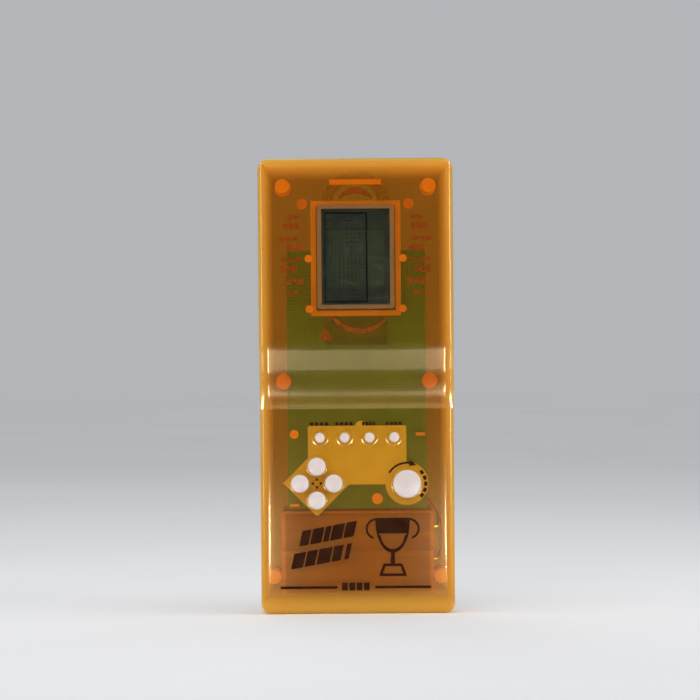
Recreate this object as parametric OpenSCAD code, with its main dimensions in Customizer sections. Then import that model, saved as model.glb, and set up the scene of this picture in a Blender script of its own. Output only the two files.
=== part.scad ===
// Handheld LCD game, standing on its bottom end.
// X runs across the front to the right, Y runs from the front to the back, Z runs up.
// The origin is the middle of the bottom end.

/* [Case] */
// Width across the front
body_w = 74.7; // [72:0.1:80]
// Height from end to end
body_h = 175; // [172:0.5:182]
// Depth of the head, the part with the display
head_depth = 27; // [26:0.5:30]
// Depth of the lower part, the part with the keys
panel_depth = 20; // [19.5:0.1:20.5]
// Thickness of the case walls
wall = 1.8; // [1.6:0.1:2]
// Corner radius of the outline, seen from the front
corner_r = 4.5; // [3:0.5:6]
// Rounding of the front edges
front_edge_r = 4; // [2:0.5:4.5]
// Rounding of the back edges
back_edge_r = 2; // [1:0.5:3]

/* [Display] */
// Width of the visible part of the display
view_w = 26; // [24:0.5:27]
// Height of the visible part of the display
view_h = 36.6; // [34:0.2:37]
// Height of the display's middle above the bottom end
view_z = 137.3; // [136:0.1:138]
// Width of the clear screen window
window_w = 29.8; // [29.4:0.1:30]
// Height of the clear screen window
window_h = 40; // [39:0.5:40]

/* [Keys] */
// Diameter of the four small keys
small_key_d = 3.7; // [3:0.1:4.2]
// Spacing of the four small keys
small_key_pitch = 9.53; // [9:0.01:10]
// Diameter of the four direction keys
pad_key_d = 6.8; // [6:0.1:6.8]
// Distance of a direction key from the middle of the pad
pad_key_reach = 6.5; // [6.5:0.1:7]
// Diameter of the large key
rotate_key_d = 10.7; // [9:0.1:11]
// Travel of every key
key_travel = 1.2; // [0.8:0.1:1.2]
// How far the keys stand out of the panel
key_height = 2.2; // [1.8:0.1:2.6]
// Gap between a key and its hole
key_gap = 0.3; // [0.2:0.05:0.4]

/* [Battery bay] */
// Inside width of the bay: one AA cell and its contacts
bay_w = 55.6; // [55:0.1:56]
// Inside height of the bay: two AA cells side by side
bay_h = 29.8; // [29.4:0.1:30]
// Inside depth of the bay, from its floor to the door
bay_depth = 15; // [14.8:0.1:15]
// Height of the bay's lower inside wall above the bottom end
bay_z = 8; // [7.8:0.1:8.2]
// Thickness of the battery door
door_t = 1.5; // [1.2:0.1:1.5]

/* [Circuit board] */
// Width of the board
board_w = 53.6; // [52:0.1:54]
// Height of the board's lower edge above the bottom end
board_z0 = 40.5; // [40:0.1:41]
// Height of the board's upper edge above the bottom end
board_z1 = 140; // [139:0.5:142]
// Thickness of the board
board_t = 1.2; // [1:0.1:1.2]

/* [Hidden] */
$fn = 48;

// Depths along Y. The case is centred on its full depth.
head_front = -head_depth / 2;
back_face = head_depth / 2;
panel_front = back_face - panel_depth;
split_y = back_face - 10.5;
back_inner = back_face - wall;
panel_inner = panel_front + wall;
head_inner = head_front + wall;

// Below the head the front falls back by a flat bevel and then a round chin that ends in a crease.
bevel_z = [93, 103];
bevel_drop = 3.5;
chin_z = 79;
chin_drop = panel_front - head_front - bevel_drop;
chin_r = (pow(bevel_z[0] - chin_z, 2) + pow(chin_drop, 2)) / (2 * chin_drop);
chin_mid_z = (bevel_z[0] + chin_z) / 2;
// [z, y] of each bend of the front, from the bottom up.
slope = [
    [chin_z, panel_front],
    [chin_mid_z, head_front + bevel_drop + chin_r - sqrt(pow(chin_r, 2) - pow(bevel_z[0] - chin_mid_z, 2))],
    [bevel_z[0], head_front + bevel_drop],
    [bevel_z[1], head_front],
];
bottom_edge = [4, 8];
tiny = 0.02;

// Display stack.
glass_w = 30;
glass_z0 = 116.9;
glass_z1 = 156.5;
glass_t = 1.1;
film_t = 0.2;
film_margin = 0.6;
ledge_h = 1.6;
window_rebate = 0.9;
window_t = 0.75;
fence_t = 2;
fence_gap = 0.2;
fence_z0 = glass_z0 - fence_gap - fence_t;
fence_z1 = glass_z1 + fence_gap + fence_t;
fence_w = glass_w + 2 * (fence_gap + fence_t);
fence_back = head_inner + 4.3;
front_film_y = head_inner + 0.05;
front_glass_y = front_film_y + film_t;
rear_glass_y = front_glass_y + glass_t;
reflector_y = rear_glass_y + glass_t;
holder_y = reflector_y + film_t;
holder_t = 1.4;
holder_leg_x = 12;
holder_leg_z = [121, 136];
ribbon_w = 24;
ribbon_t = 0.25;

// Board, mat and keys.
board_back = back_face - 13.3;
board_front = board_back - board_t;
mat_t = 1.2;
mat_front = board_front - mat_t;
pad_center = [-15.6, 50.4];
rotate_center = [19.1, 50];
small_key_z = 68;
mat_x = 19;
mat_z = [49.7, 72.4];
mat_diamond = 13;
mat_circle_r = 8.3;
flange_t = 1;
flange_extra = 1;
mat_hole_extra = 1.6;
pill_t = 0.55;
pad_t = 0.1;
flange_y = board_front - pad_t - 0.05 - key_travel - pill_t - flange_t;
// Each key: [name, x, z, diameter]
KEYS = [
    ["on_off", -1.5 * small_key_pitch, small_key_z, small_key_d],
    ["sound", -0.5 * small_key_pitch, small_key_z, small_key_d],
    ["start_pause", 0.5 * small_key_pitch, small_key_z, small_key_d],
    ["reset", 1.5 * small_key_pitch, small_key_z, small_key_d],
    ["up", pad_center.x, pad_center.y + pad_key_reach, pad_key_d],
    ["down", pad_center.x, pad_center.y - pad_key_reach, pad_key_d],
    ["left", pad_center.x - pad_key_reach, pad_center.y, pad_key_d],
    ["right", pad_center.x + pad_key_reach, pad_center.y, pad_key_d],
    ["rotate", rotate_center.x, rotate_center.y, rotate_key_d],
];

// Case screws, at [x, z, front end of the boss].
case_screws = [
    [-28, 164.5, head_inner - 0.4], [28, 164.5, head_inner - 0.4],
    [-28, 89.6, panel_inner - 3.1], [28, 89.6, panel_inner - 3.1],
    [-32.3, 14.5, panel_inner - 0.4], [32.3, 14.5, panel_inner - 0.4],
];
front_boss_r = 2.4;
rear_boss_r = 3.2;
screw_r = 1;
screw_hole_r = 1.1;
screw_head_r = 2.2;
screw_head_h = 1.4;
counterbore_r = 2.5;
screw_seat_y = split_y + 2.1;
screw_tip_y = split_y - 6.5;

// Board posts on the front shell: [x, z, radius], with a screw each.
board_posts = [[7.6, 44.3, 2.1], [-24.2, 69.3, 1.7]];
board_screw_r = 0.7;
board_screw_hole_r = 0.8;
// Locating pegs beside the display: [x, z].
pegs = [[-18.1, 136.7], [18.1, 136.7], [-17.9, 117.4], [17.9, 117.4]];
peg_r = 1.45;
peg_tip_r = 0.8;
peg_hole_r = 0.95;
// Short ribs that steady the board: [x, z].
board_ribs = [[24.4, 69.1], [-24.2, 42]];
// Ribs on the inside of the walls.
wall_rib = [1, 1.5];
top_ribs_x = [-17.2, -9.6, 9.6, 17.2];
bottom_ribs_x = [-19.4, 0, 19.4];
left_ribs_z = [23.5, 43.2, 65.7, 108, 130.5, 151];
right_ribs_z = [23.5, 42.4, 65.3, 107.9, 129.9, 139.8, 150.5];
bar_rib = [19.9, 2, 165.9];
lip_t = 0.75;
lip_h = 1.2;
lip_gap = 0.15;

// Battery bay, on the rear shell.
bay_wall = 1.5;
bay_z1 = bay_z + bay_h;
bay_floor = back_inner - bay_depth;
bay_floor_t = 1.2;
// The floor is two troughs, one for each cell, with a low ridge between them.
trough_r = bay_h / 4;
ridge_y = bay_floor + 2.8;
cell_y = bay_floor + trough_r;
cell_z = [bay_z + trough_r, bay_z1 - trough_r];
// Battery door and the rim that it lies on.
door_gap = 0.3;
door_w = 57.8;
door_z0 = 7.25;
door_z1 = 41;
door_y = back_face - door_t;
ledge_y = door_y - 0.1;
tongue_w = 10.4;
tongue_z1 = 47.4;
door_screw_z = 43.4;
cup_r = 3.5;
cup_floor_y = back_face - 1.6;
cup_y = back_face - 2.9;
cup_clear = 0.4;
door_screw_r = 0.9;
door_screw_head_r = 2.3;
door_screw_recess_r = 2.6;
door_screw_hole_r = 1.3;
door_boss_r = 3.25;
door_boss_hole_r = 1.45;
door_boss_y = [back_face - 9, back_face - 3.1];
door_screw_tip_y = back_face - 6.1;
rim_y = back_face - 3.6;
rim_w = 62;
rim_z = [4.6, 43];
tab_x = 16;
tab_w = 5;
tab_z0 = 5.4;
tab_y = [back_face - 2.9, back_face - 2];
tab_clear = 0.4;

// Battery contacts.
contact_t = 0.35;
contact_w = 12;
contact_depth = 9.2;
contact_x = bay_w / 2;
dimple_r = 2.2;
dimple_h = 0.7;
spring_wire_r = 0.35;
spring_turns = 4;
spring_pitch = 1.1;
spring_r = [4.2, 2.8];
spring_steps = 14;
spring_sides = 6;
tab_solder_z = [cell_z[0] + 5, cell_z[1] + 2.7];
solder_tab = [3.6, 3, 0.35];

// Sound disc, glued to the rear shell.
disc_z = 158;
disc_r = 13.5;
ceramic_r = 9;
disc_t = 0.25;
disc_seat_y = back_inner - 1.2;
grille_hole_r = 0.8;
grille_ring_r = 4.4;

// Wires: the points of each route. Y is measured from the back of the board.
wire_r = 0.55;
wire_sides = 8;
positive_route = [
    [30.6, 4, 20.8], [31.8, 4.1, 23], [32.6, 4.2, 26], [32.8, 4.1, 30], [32.6, 3.9, 34],
    [31.6, 3.6, 38], [29.6, 3.2, 41.4], [26.8, 2.8, 43.6], [24.4, 2.2, 44.6], [23, 1.4, 44.6],
    [22.8, 0.6, 44.5], [22.8, 0.05, 44.5],
];
negative_route = [
    [30.6, 5, 33.4], [31.4, 5.7, 35], [31.4, 6.2, 37.5], [30, 6.3, 40.4], [27.4, 6, 43.4],
    [24.4, 5.4, 46], [21.4, 4.2, 47.6], [19.2, 2.6, 48.2], [18.4, 1.2, 48.2], [18.4, 0.05, 48.2],
];
buzzer_hot_route = [
    [3, 0.05, 136.5], [3, 1.4, 136.6], [3.2, 3.2, 138.2], [3.8, 5.2, 141.4], [4.4, 6.8, 145],
    [4.7, 7.8, 148.4], [4.6, 8.5, 151], [4.5, 9.2, 152.6], [4.5, 9.6, 152.8],
];
buzzer_ground_route = [
    [-3, 0.05, 136.5], [-3, 1.3, 136.6], [-3.3, 3, 137.8], [-4.2, 5, 140], [-5.2, 7, 142.6],
    [-5.8, 8.4, 145], [-6, 9.3, 146.8], [-6, 9.9, 147.2],
];

// Parts on the back of the board.
chip_center = [0, 78];
chip_r = 7;
chip_h = 1.6;
capacitors = [[-17, 100], [-9.5, 100]];
capacitor_r = 2.5;
capacitor_h = 7;
resistors = [[6, 98], [6, 102], [6, 106], [16, 98], [16, 102], [16, 106]];
resistor_r = 0.85;
resistor_l = 3.4;
lead_r = 0.25;
lead_reach = 4.2;
transistor_at = [10, 128];

case_color = [0.95, 0.5, 0.12, 0.55];
key_color = [0.93, 0.92, 0.9];

// ---- Helpers ----

// Points along an arc with radii rx and ry, from angle a0 to a1.
function arc(cx, cy, rx, ry, a0, a1, n = 5) =
    [for (i = [0:n]) let (a = a0 + (a1 - a0) * i / n) [cx + rx * cos(a), cy + ry * sin(a)]];

// A point on a cubic curve with two end points and two handles.
function cubic(p, t) =
    pow(1 - t, 3) * p[0] + 3 * t * pow(1 - t, 2) * p[1] + 3 * t * t * (1 - t) * p[2] + pow(t, 3) * p[3];

// Extrudes a shape drawn in X and Z from y0 to y1.
module along_y(y0, y1) {
    translate([0, y1, 0]) rotate([90, 0, 0]) linear_extrude(y1 - y0) children();
}

// Extrudes a shape drawn in Y and Z from x0 to x1.
module along_x(x0, x1) {
    translate([x0, 0, 0]) rotate([90, 0, 90]) linear_extrude(x1 - x0) children();
}

// A round bar along Y.
module rod_y(x, z, r, y0, y1) {
    translate([x, y1, z]) rotate([90, 0, 0]) cylinder(r = r, h = y1 - y0);
}

// A box from its low corner to its high corner.
module block(low, high) {
    translate(low) cube(high - low);
}

// A rectangle with round corners, centred across and standing on z0.
module round_rect(w, z0, z1, r) {
    translate([-w / 2 + r, z0]) square([w - 2 * r, z1 - z0]);
    translate([-w / 2, z0 + r]) square([w, z1 - z0 - 2 * r]);
    for (x = [-1, 1], z = [z0 + r, z1 - r]) translate([x * (w / 2 - r), z]) circle(r);
}

// A tube swept along a route, with flat ends.
module wire(route, r, sides) {
    count = len(route);
    tangents = [for (i = [0:count - 1])
        let (a = route[max(i - 1, 0)], b = route[min(i + 1, count - 1)]) (b - a) / norm(b - a)];
    rings = [for (i = [0:count - 1])
        let (t = tangents[i],
             helper = abs(t.y) < 0.8 ? [0, 1, 0] : [1, 0, 0],
             u = cross(t, helper) / norm(cross(t, helper)),
             v = cross(t, u))
        for (s = [0:sides - 1]) let (a = 360 * s / sides) route[i] + r * (cos(a) * u + sin(a) * v)];
    walls = [for (i = [0:count - 2], s = [0:sides - 1])
        let (n = (s + 1) % sides)
        each [[i * sides + s, i * sides + n, (i + 1) * sides + s],
              [i * sides + n, (i + 1) * sides + n, (i + 1) * sides + s]]];
    first_end = [for (s = [sides - 1:-1:0]) s];
    last_end = [for (s = [0:sides - 1]) (count - 1) * sides + s];
    polyhedron(points = rings, faces = concat(walls, [first_end], [last_end]));
}

// A wire whose route is measured from the back of the board.
module board_wire(route) {
    translate([0, board_back, 0]) wire(route, wire_r, wire_sides);
}

// ---- Case ----

// Outline of the case, seen from the front.
module outline(inset) {
    round_rect(body_w - 2 * inset, inset, body_h - inset, max(corner_r - inset, 1));
}

// Section across the case at a given front depth: round front and back edges.
module cross_section(front, inset) {
    w = body_w / 2 - inset;
    f = front + inset;
    b = back_face - inset;
    rf = max(front_edge_r - inset, 0.6);
    rb = max(back_edge_r - inset, 0.5);
    polygon(concat(
        arc(w - rf, f + rf, rf, rf, -90, 0), arc(w - rb, b - rb, rb, rb, 0, 90, 3),
        arc(rb - w, b - rb, rb, rb, 90, 180, 3), arc(rf - w, f + rf, rf, rf, 180, 270)));
}

// Side view of the case that rounds its two ends. It is roomy at the slope.
module end_profile(inset) {
    low = inset;
    high = body_h - inset;
    f = head_front + inset;
    p = panel_front + inset;
    b = back_face - inset;
    rf = max(front_edge_r - inset, 0.6);
    rb = max(back_edge_r - inset, 0.5);
    ey = bottom_edge[0] - inset;
    ez = bottom_edge[1] - inset;
    polygon(concat(
        arc(p + ey, low + ez, ey, ez, 270, 180, 6), [[f, low + ez]],
        arc(f + rf, high - rf, rf, rf, 180, 90), arc(b - rb, high - rb, rb, rb, 90, 0, 3),
        arc(b - rb, low + rb, rb, rb, 0, -90, 3)));
}

// The whole closed case, shrunk by inset on every side.
module case_solid(inset) {
    last = len(slope) - 1;
    intersection() {
        along_y(head_front, back_face) outline(inset);
        along_x(-body_w, body_w) end_profile(inset);
        union() {
            linear_extrude(slope[0][0]) cross_section(panel_front, inset);
            for (i = [0:last - 1]) hull() {
                for (bend = [slope[i], slope[i + 1]])
                    translate([0, 0, bend[0] - tiny]) linear_extrude(tiny) cross_section(bend[1], inset);
            }
            translate([0, 0, slope[last][0] - tiny])
                linear_extrude(body_h - slope[last][0] + tiny) cross_section(head_front, inset);
        }
    }
}

// The closed case behind the parting line, which has no slope.
module rear_solid(inset) {
    intersection() {
        along_y(split_y, back_face) outline(inset);
        along_x(-body_w, body_w) end_profile(inset);
        linear_extrude(body_h) cross_section(head_front, inset);
    }
}

// Ribs on the inside of the side walls and the two ends.
module wall_ribs() {
    side = body_w / 2 - wall;
    thick = wall_rib[0] / 2;
    deep = wall_rib[1];
    front_of = function (z) z < slope[0][0] ? panel_front + 2.6 : head_front + 2.6;
    for (z = left_ribs_z)
        block([-side - 0.1, front_of(z), z - thick], [-side + deep, split_y - 0.1, z + thick]);
    for (z = right_ribs_z)
        block([side - deep, front_of(z), z - thick], [side + 0.1, split_y - 0.1, z + thick]);
    for (x = top_ribs_x)
        block([x - thick, head_front + 2.6, body_h - wall - deep], [x + thick, split_y - 0.1, body_h - wall + 0.1]);
    for (x = bottom_ribs_x)
        block([x - thick, panel_front + 4.4, wall - 0.1], [x + thick, split_y - 0.1, wall + deep]);
}

// Fence that holds the display glass, with a square post at each corner.
module display_fence() {
    difference() {
        block([-fence_w / 2, head_inner - 0.2, fence_z0], [fence_w / 2, fence_back, fence_z1]);
        inner = glass_w / 2 + fence_gap;
        block([-inner, head_inner - 1, glass_z0 - fence_gap], [inner, fence_back + 1, glass_z1 + fence_gap]);
        block([-ribbon_w / 2 - 1, head_inner + 0.9, fence_z0 - 1], [ribbon_w / 2 + 1, fence_back + 1, glass_z0]);
    }
    for (x = [-1, 1], z = [fence_z0, fence_z1 - fence_t])
        block([x * (fence_w / 2 - fence_t / 2) - fence_t / 2, fence_back - 1, z],
            [x * (fence_w / 2 - fence_t / 2) + fence_t / 2, fence_back + 1.4, z + fence_t]);
}

// Lip that centres the rear shell on the front shell.
module lip() {
    difference() {
        along_y(split_y - 1.5, split_y + lip_h) difference() {
            outline(wall + lip_gap);
            outline(wall + lip_gap + lip_t);
        }
        for (s = case_screws) rod_y(s.x, s.y, rear_boss_r + 0.3, split_y, split_y + 2 * lip_h);
    }
    along_y(split_y - 1.5, split_y - 0.1) difference() {
        outline(wall - 0.2);
        outline(wall + lip_gap + lip_t);
    }
}

module front_shell() {
    color(case_color) difference() {
        union() {
            intersection() {
                difference() {
                    case_solid(0);
                    case_solid(wall);
                }
                block([-body_w, head_front - 1, -1], [body_w, split_y, body_h + 1]);
            }
            for (s = case_screws) rod_y(s.x, s.y, front_boss_r, s[2], split_y - 0.05);
            for (p = board_posts) rod_y(p.x, p.y, p[2], panel_inner - 0.4, board_front);
            for (p = pegs) {
                rod_y(p.x, p.y, peg_r, head_inner - 0.4, board_front);
                rod_y(p.x, p.y, peg_tip_r, board_front - 0.5, board_back + 0.8);
            }
            for (r = board_ribs)
                block([r.x - 1.75, panel_inner - 0.4, r.y - 0.6], [r.x + 1.75, board_front, r.y + 0.6]);
            block([-bar_rib[0] / 2, head_inner - 0.2, bar_rib[2] - bar_rib[1] / 2],
                [bar_rib[0] / 2, -7, bar_rib[2] + bar_rib[1] / 2]);
            wall_ribs();
            display_fence();
            lip();
        }
        along_y(head_front - 1, head_inner + 1)
            translate([0, view_z]) square([view_w, view_h], center = true);
        along_y(head_front - 1, head_front + window_rebate)
            round_rect(window_w + 0.2, view_z - window_h / 2 - 0.1, view_z + window_h / 2 + 0.1, 1.1);
        for (key = KEYS) rod_y(key[1], key[2], key[3] / 2 + key_gap, panel_front - 1, panel_inner + 0.6);
        for (s = case_screws) rod_y(s.x, s.y, screw_hole_r, screw_tip_y - 1, split_y + 1);
        for (p = board_posts) rod_y(p.x, p.y, board_screw_hole_r, board_front - 2.2, board_front + 1);
    }
}

// Outline of the battery door, grown by gap: a plate with a tongue for the screw.
module door_outline(gap) {
    round_rect(door_w + 2 * gap, door_z0 - gap, door_z1 + gap, 1);
    round_rect(tongue_w + 2 * gap, door_z1 - 3, tongue_z1 + gap, 2.2);
}

// Bay for two cells with its rim, before its inside is cut out.
module bay_block() {
    along_x(-bay_w / 2 - bay_wall, bay_w / 2 + bay_wall) {
        for (z = cell_z) translate([cell_y, z]) circle(trough_r + bay_floor_t);
        translate([cell_y, bay_z - bay_wall]) square([back_inner + 0.2 - cell_y, bay_h + 2 * bay_wall]);
        translate([ridge_y - bay_floor_t, cell_z[0]]) square([bay_depth / 2, cell_z[1] - cell_z[0]]);
    }
    block([-rim_w / 2, rim_y, rim_z[0]], [rim_w / 2, back_inner + 0.2, rim_z[1]]);
    block([-tongue_w / 2 - 2.4, rim_y, rim_z[1] - 2], [tongue_w / 2 + 2.4, back_inner + 0.2, tongue_z1 + 2.2]);
    rod_y(0, door_screw_z, door_boss_r, door_boss_y[0], rim_y + 0.5);
}

// Everything that is cut from the bay: its inside, the door's seat and the tabs' pockets.
module bay_cuts() {
    along_x(-bay_w / 2, bay_w / 2) {
        for (z = cell_z) translate([cell_y, z]) circle(trough_r);
        translate([cell_y, bay_z]) square([bay_depth, bay_h]);
        translate([ridge_y, cell_z[0]]) square([bay_depth / 2, cell_z[1] - cell_z[0]]);
    }
    along_y(ledge_y, back_face + 1) door_outline(door_gap - 0.05);
    rod_y(0, door_screw_z, cup_r + cup_clear, door_boss_y[1], back_face);
    rod_y(0, door_screw_z, door_boss_hole_r, door_boss_y[0] + 1, back_face);
    for (x = [-tab_x, tab_x]) {
        low_x = x - tab_w / 2 - tab_clear;
        high_x = x + tab_w / 2 + tab_clear;
        block([low_x, rim_y, tab_z0 - tab_clear], [high_x, back_inner, bay_z + 1]);
        block([low_x, rim_y, door_z0 - door_gap], [high_x, ledge_y + 0.1, bay_z + 1]);
    }
    for (z = tab_solder_z)
        block([bay_w / 2 - 1, cell_y - 1.75, z - 0.4], [bay_w / 2 + bay_wall + 1, cell_y + 1.75, z + 0.4]);
}

module rear_shell() {
    color(case_color) difference() {
        union() {
            difference() {
                rear_solid(0);
                intersection() {
                    rear_solid(wall);
                    block([-body_w, split_y - 1, 0], [body_w, back_inner, body_h]);
                }
            }
            bay_block();
            for (s = case_screws) rod_y(s.x, s.y, rear_boss_r, split_y, back_inner + 0.2);
            for (x = [-20.6, 20.6]) rod_y(x, disc_z + 0.3, 2, split_y, back_inner + 0.2);
            for (x = [-22, 22], z = [60, 125]) rod_y(x, z, 1.6, board_back + 0.1, back_inner + 0.2);
            difference() {
                rod_y(0, disc_z, disc_r + 1, disc_seat_y, back_inner + 0.2);
                rod_y(0, disc_z, disc_r - 1, disc_seat_y - 1, back_inner);
            }
        }
        bay_cuts();
        for (s = case_screws) {
            rod_y(s.x, s.y, counterbore_r, screw_seat_y, back_face + 1);
            rod_y(s.x, s.y, screw_hole_r + 0.2, split_y - 1, back_face + 1);
        }
        rod_y(0, disc_z, grille_hole_r, back_inner - 1, back_face + 1);
        for (a = [0:60:300])
            rod_y(grille_ring_r * cos(a), disc_z + grille_ring_r * sin(a), grille_hole_r,
                back_inner - 1, back_face + 1);
    }
}

module battery_door() {
    color(case_color) difference() {
        union() {
            along_y(door_y, back_face) door_outline(0);
            rod_y(0, door_screw_z, cup_r, cup_y, back_face);
            for (x = [-tab_x, tab_x]) {
                block([x - tab_w / 2, tab_y[0], door_z0 + 0.2], [x + tab_w / 2, door_y + 0.1, door_z0 + 1.4]);
                block([x - tab_w / 2, tab_y[0], tab_z0], [x + tab_w / 2, tab_y[1], door_z0 + 1.4]);
            }
        }
        rod_y(0, door_screw_z, door_screw_recess_r, cup_floor_y, back_face + 1);
        rod_y(0, door_screw_z, door_screw_hole_r, cup_y - 1, back_face);
    }
}

// ---- Fasteners ----

// A pan-head screw along Y with a cross recess, its tip towards the front.
module screw(x, z, r, tip_y, seat_y, head_r, head_h, recess) {
    difference() {
        union() {
            rod_y(x, z, r, tip_y, seat_y + 0.1);
            rod_y(x, z, head_r, seat_y, seat_y + head_h);
        }
        for (turn = [0, 90])
            translate([x, seat_y + head_h, z]) rotate([0, turn, 0])
                cube([head_r * 1.3, 1.6, recess], center = true);
    }
}

module battery_door_screw() {
    color("silver") screw(0, door_screw_z, door_screw_r, door_screw_tip_y, cup_floor_y + 0.05,
        door_screw_head_r, 1.4, 0.6);
}

module case_screws() {
    color("silver") for (s = case_screws)
        screw(s.x, s.y, screw_r, screw_tip_y, screw_seat_y, screw_head_r, screw_head_h, 0.6);
}

module board_screws() {
    color("silver") for (p = board_posts)
        screw(p.x, p.y, board_screw_r, board_front - 1.8, board_back, 1.4, 1, 0.4);
}

// ---- Display ----

module screen_window() {
    color([0.9, 0.95, 1, 0.4])
        along_y(head_front + 0.1, head_front + 0.1 + window_t)
            round_rect(window_w, view_z - window_h / 2, view_z + window_h / 2, 1);
}

// A flat sheet of the display stack.
module sheet(w, z0, z1, y, t) {
    block([-w / 2, y, z0], [w / 2, y + t, z1]);
}

module lcd_front_film() {
    color([0.35, 0.38, 0.3])
        sheet(glass_w - 2 * film_margin, glass_z0 + ledge_h + film_margin, glass_z1 - film_margin,
            front_film_y, film_t);
}

module lcd_front_glass() {
    color([0.5, 0.55, 0.45, 0.6]) sheet(glass_w, glass_z0 + ledge_h, glass_z1, front_glass_y, glass_t);
}

module lcd_rear_glass() {
    color([0.5, 0.55, 0.45, 0.6]) sheet(glass_w, glass_z0, glass_z1, rear_glass_y, glass_t);
}

module lcd_reflector() {
    color([0.6, 0.62, 0.55])
        sheet(glass_w - 2 * film_margin, glass_z0 + film_margin, glass_z1 - film_margin, reflector_y, film_t);
}

module lcd_holder() {
    color([0.15, 0.15, 0.15]) {
        difference() {
            sheet(glass_w, glass_z0, glass_z1, holder_y, holder_t);
            sheet(glass_w - 8, glass_z0 + 9, glass_z1 - 9, holder_y - 1, holder_t + 2);
        }
        for (x = [-holder_leg_x, holder_leg_x], z = holder_leg_z)
            rod_y(x, z, 1.6, holder_y + holder_t - 0.1, board_front);
    }
}

module lcd_ribbon() {
    ledge_y0 = rear_glass_y - ribbon_t;
    bend = [[ledge_y0, glass_z0 - 0.6], [ledge_y0, 110.5], [board_front - ribbon_t, 112.5],
            [board_front - ribbon_t, 107]];
    path = concat([[ledge_y0, glass_z0 + ledge_h - 0.1]], [for (i = [0:10]) cubic(bend, i / 10)],
        [[board_front - ribbon_t, 103.5]]);
    last = len(path) - 1;
    color([0.45, 0.3, 0.12])
        along_x(-ribbon_w / 2, ribbon_w / 2)
            polygon(concat(path, [for (i = [last:-1:0]) path[i] + [ribbon_t, 0]]));
}

// ---- Circuit board ----

module main_board() {
    color([0.1, 0.4, 0.15]) along_y(board_front, board_back) difference() {
        translate([-board_w / 2, board_z0]) square([board_w, board_z1 - board_z0]);
        for (s = case_screws) translate([s.x, s.y]) circle(front_boss_r + 0.5);
        for (p = pegs) translate([p.x, p.y]) circle(peg_hole_r);
        for (p = board_posts) translate([p.x, p.y]) circle(board_screw_r + 0.15);
    }
}

// Two half rings of carbon under each key.
module key_contacts() {
    color([0.1, 0.1, 0.1]) for (key = KEYS) {
        r = key[3] / 2 - 0.5;
        along_y(board_front - pad_t, board_front) translate([key[1], key[2]]) difference() {
            circle(r);
            square([0.4, 4 * r], center = true);
        }
    }
}

// A drop of resin over the chip: a quarter ellipse turned about its own axis.
module chip_cover() {
    color([0.05, 0.05, 0.05])
        translate([chip_center.x, board_back, chip_center.y]) rotate([-90, 0, 0])
            rotate_extrude() polygon(concat([[0, 0]], arc(0, 0, chip_r, chip_h, 0, 90, 6)));
}

module capacitors() {
    color([0.1, 0.12, 0.3]) for (c = capacitors)
        rod_y(c.x, c.y, capacitor_r, board_back, board_back + capacitor_h);
}

// Resistors lie along X, with leads that bend down to the board.
module resistors() {
    color([0.8, 0.65, 0.4]) for (r = resistors) {
        y = board_back + 1.2;
        translate([r.x - resistor_l / 2, y, r.y]) rotate([0, 90, 0]) cylinder(r = resistor_r, h = resistor_l);
        translate([r.x - lead_reach, y, r.y]) rotate([0, 90, 0]) cylinder(r = lead_r, h = 2 * lead_reach);
        for (x = [-lead_reach + lead_r, lead_reach - lead_r])
            rod_y(r.x + x, r.y, lead_r, board_back, y + lead_r);
    }
}

module buzzer_transistor() {
    color([0.08, 0.08, 0.08]) {
        difference() {
            rod_y(transistor_at.x, transistor_at.y, 2.3, board_back + 2, board_back + 6.6);
            block([transistor_at.x - 3, board_back, transistor_at.y + 1.2],
                [transistor_at.x + 3, board_back + 8, transistor_at.y + 3]);
        }
        for (x = [-1.27, 0, 1.27])
            rod_y(transistor_at.x + x, transistor_at.y, 0.25, board_back, board_back + 2.1);
    }
}

// ---- Keypad ----

module keypad_mat() {
    color([0.9, 0.85, 0.75]) along_y(mat_front, board_front) difference() {
        union() {
            translate([-mat_x, mat_z[0]]) square([2 * mat_x, mat_z[1] - mat_z[0]]);
            intersection() {
                translate(pad_center) rotate(45) square(mat_diamond * sqrt(2), center = true);
                translate([-body_w / 2, bay_z1 + 0.1]) square(body_w);
            }
            translate(rotate_center) circle(mat_circle_r);
            translate([1.3, mat_z[1]]) circle(2.4);
        }
        for (key = KEYS) translate([key[1], key[2]]) circle((key[3] + mat_hole_extra) / 2);
        for (p = board_posts) translate([p.x, p.y]) circle(p[2] + 0.2);
    }
}

// A key, turned about its own axis: a domed cap on a flange that keeps it behind the panel.
module key_cap(key) {
    r = key[3] / 2;
    flange_r = r + flange_extra / 2;
    height = flange_y + flange_t - panel_front + key_height;
    dome = r * 0.22;
    dome_r = (r * r + dome * dome) / (2 * dome);
    color(key_color)
        translate([key[1], flange_y + flange_t, key[2]]) rotate([90, 0, 0])
            rotate_extrude() polygon(concat(
                [[0, 0], [flange_r, 0], [flange_r, flange_t], [r, flange_t]],
                arc(0, height - dome_r, dome_r, dome_r, acos(r / dome_r), 90, 6)));
}

// The carbon pill on the back of a key.
module key_pill(key) {
    color([0.1, 0.1, 0.1])
        rod_y(key[1], key[2], key[3] / 2 - 0.5, flange_y + flange_t, flange_y + flange_t + pill_t);
}

// ---- Sound ----

module buzzer_disc() {
    color("gold") rod_y(0, disc_z, disc_r, disc_seat_y - disc_t, disc_seat_y);
}

module buzzer_ceramic() {
    color([0.9, 0.9, 0.85]) rod_y(0, disc_z, ceramic_r, disc_seat_y - 2 * disc_t, disc_seat_y - disc_t);
}

module buzzer_wire_hot() {
    color("red") board_wire(buzzer_hot_route);
}

module buzzer_wire_ground() {
    color([0.1, 0.1, 0.1]) board_wire(buzzer_ground_route);
}

// ---- Battery contacts ----

// A contact plate on an end wall of the bay; side is -1 for left and 1 for right.
module contact_plate(side, z0, z1) {
    x = side * (contact_x - contact_t / 2);
    translate([x, cell_y, (z0 + z1) / 2]) cube([contact_t, contact_depth, z1 - z0], center = true);
}

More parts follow.
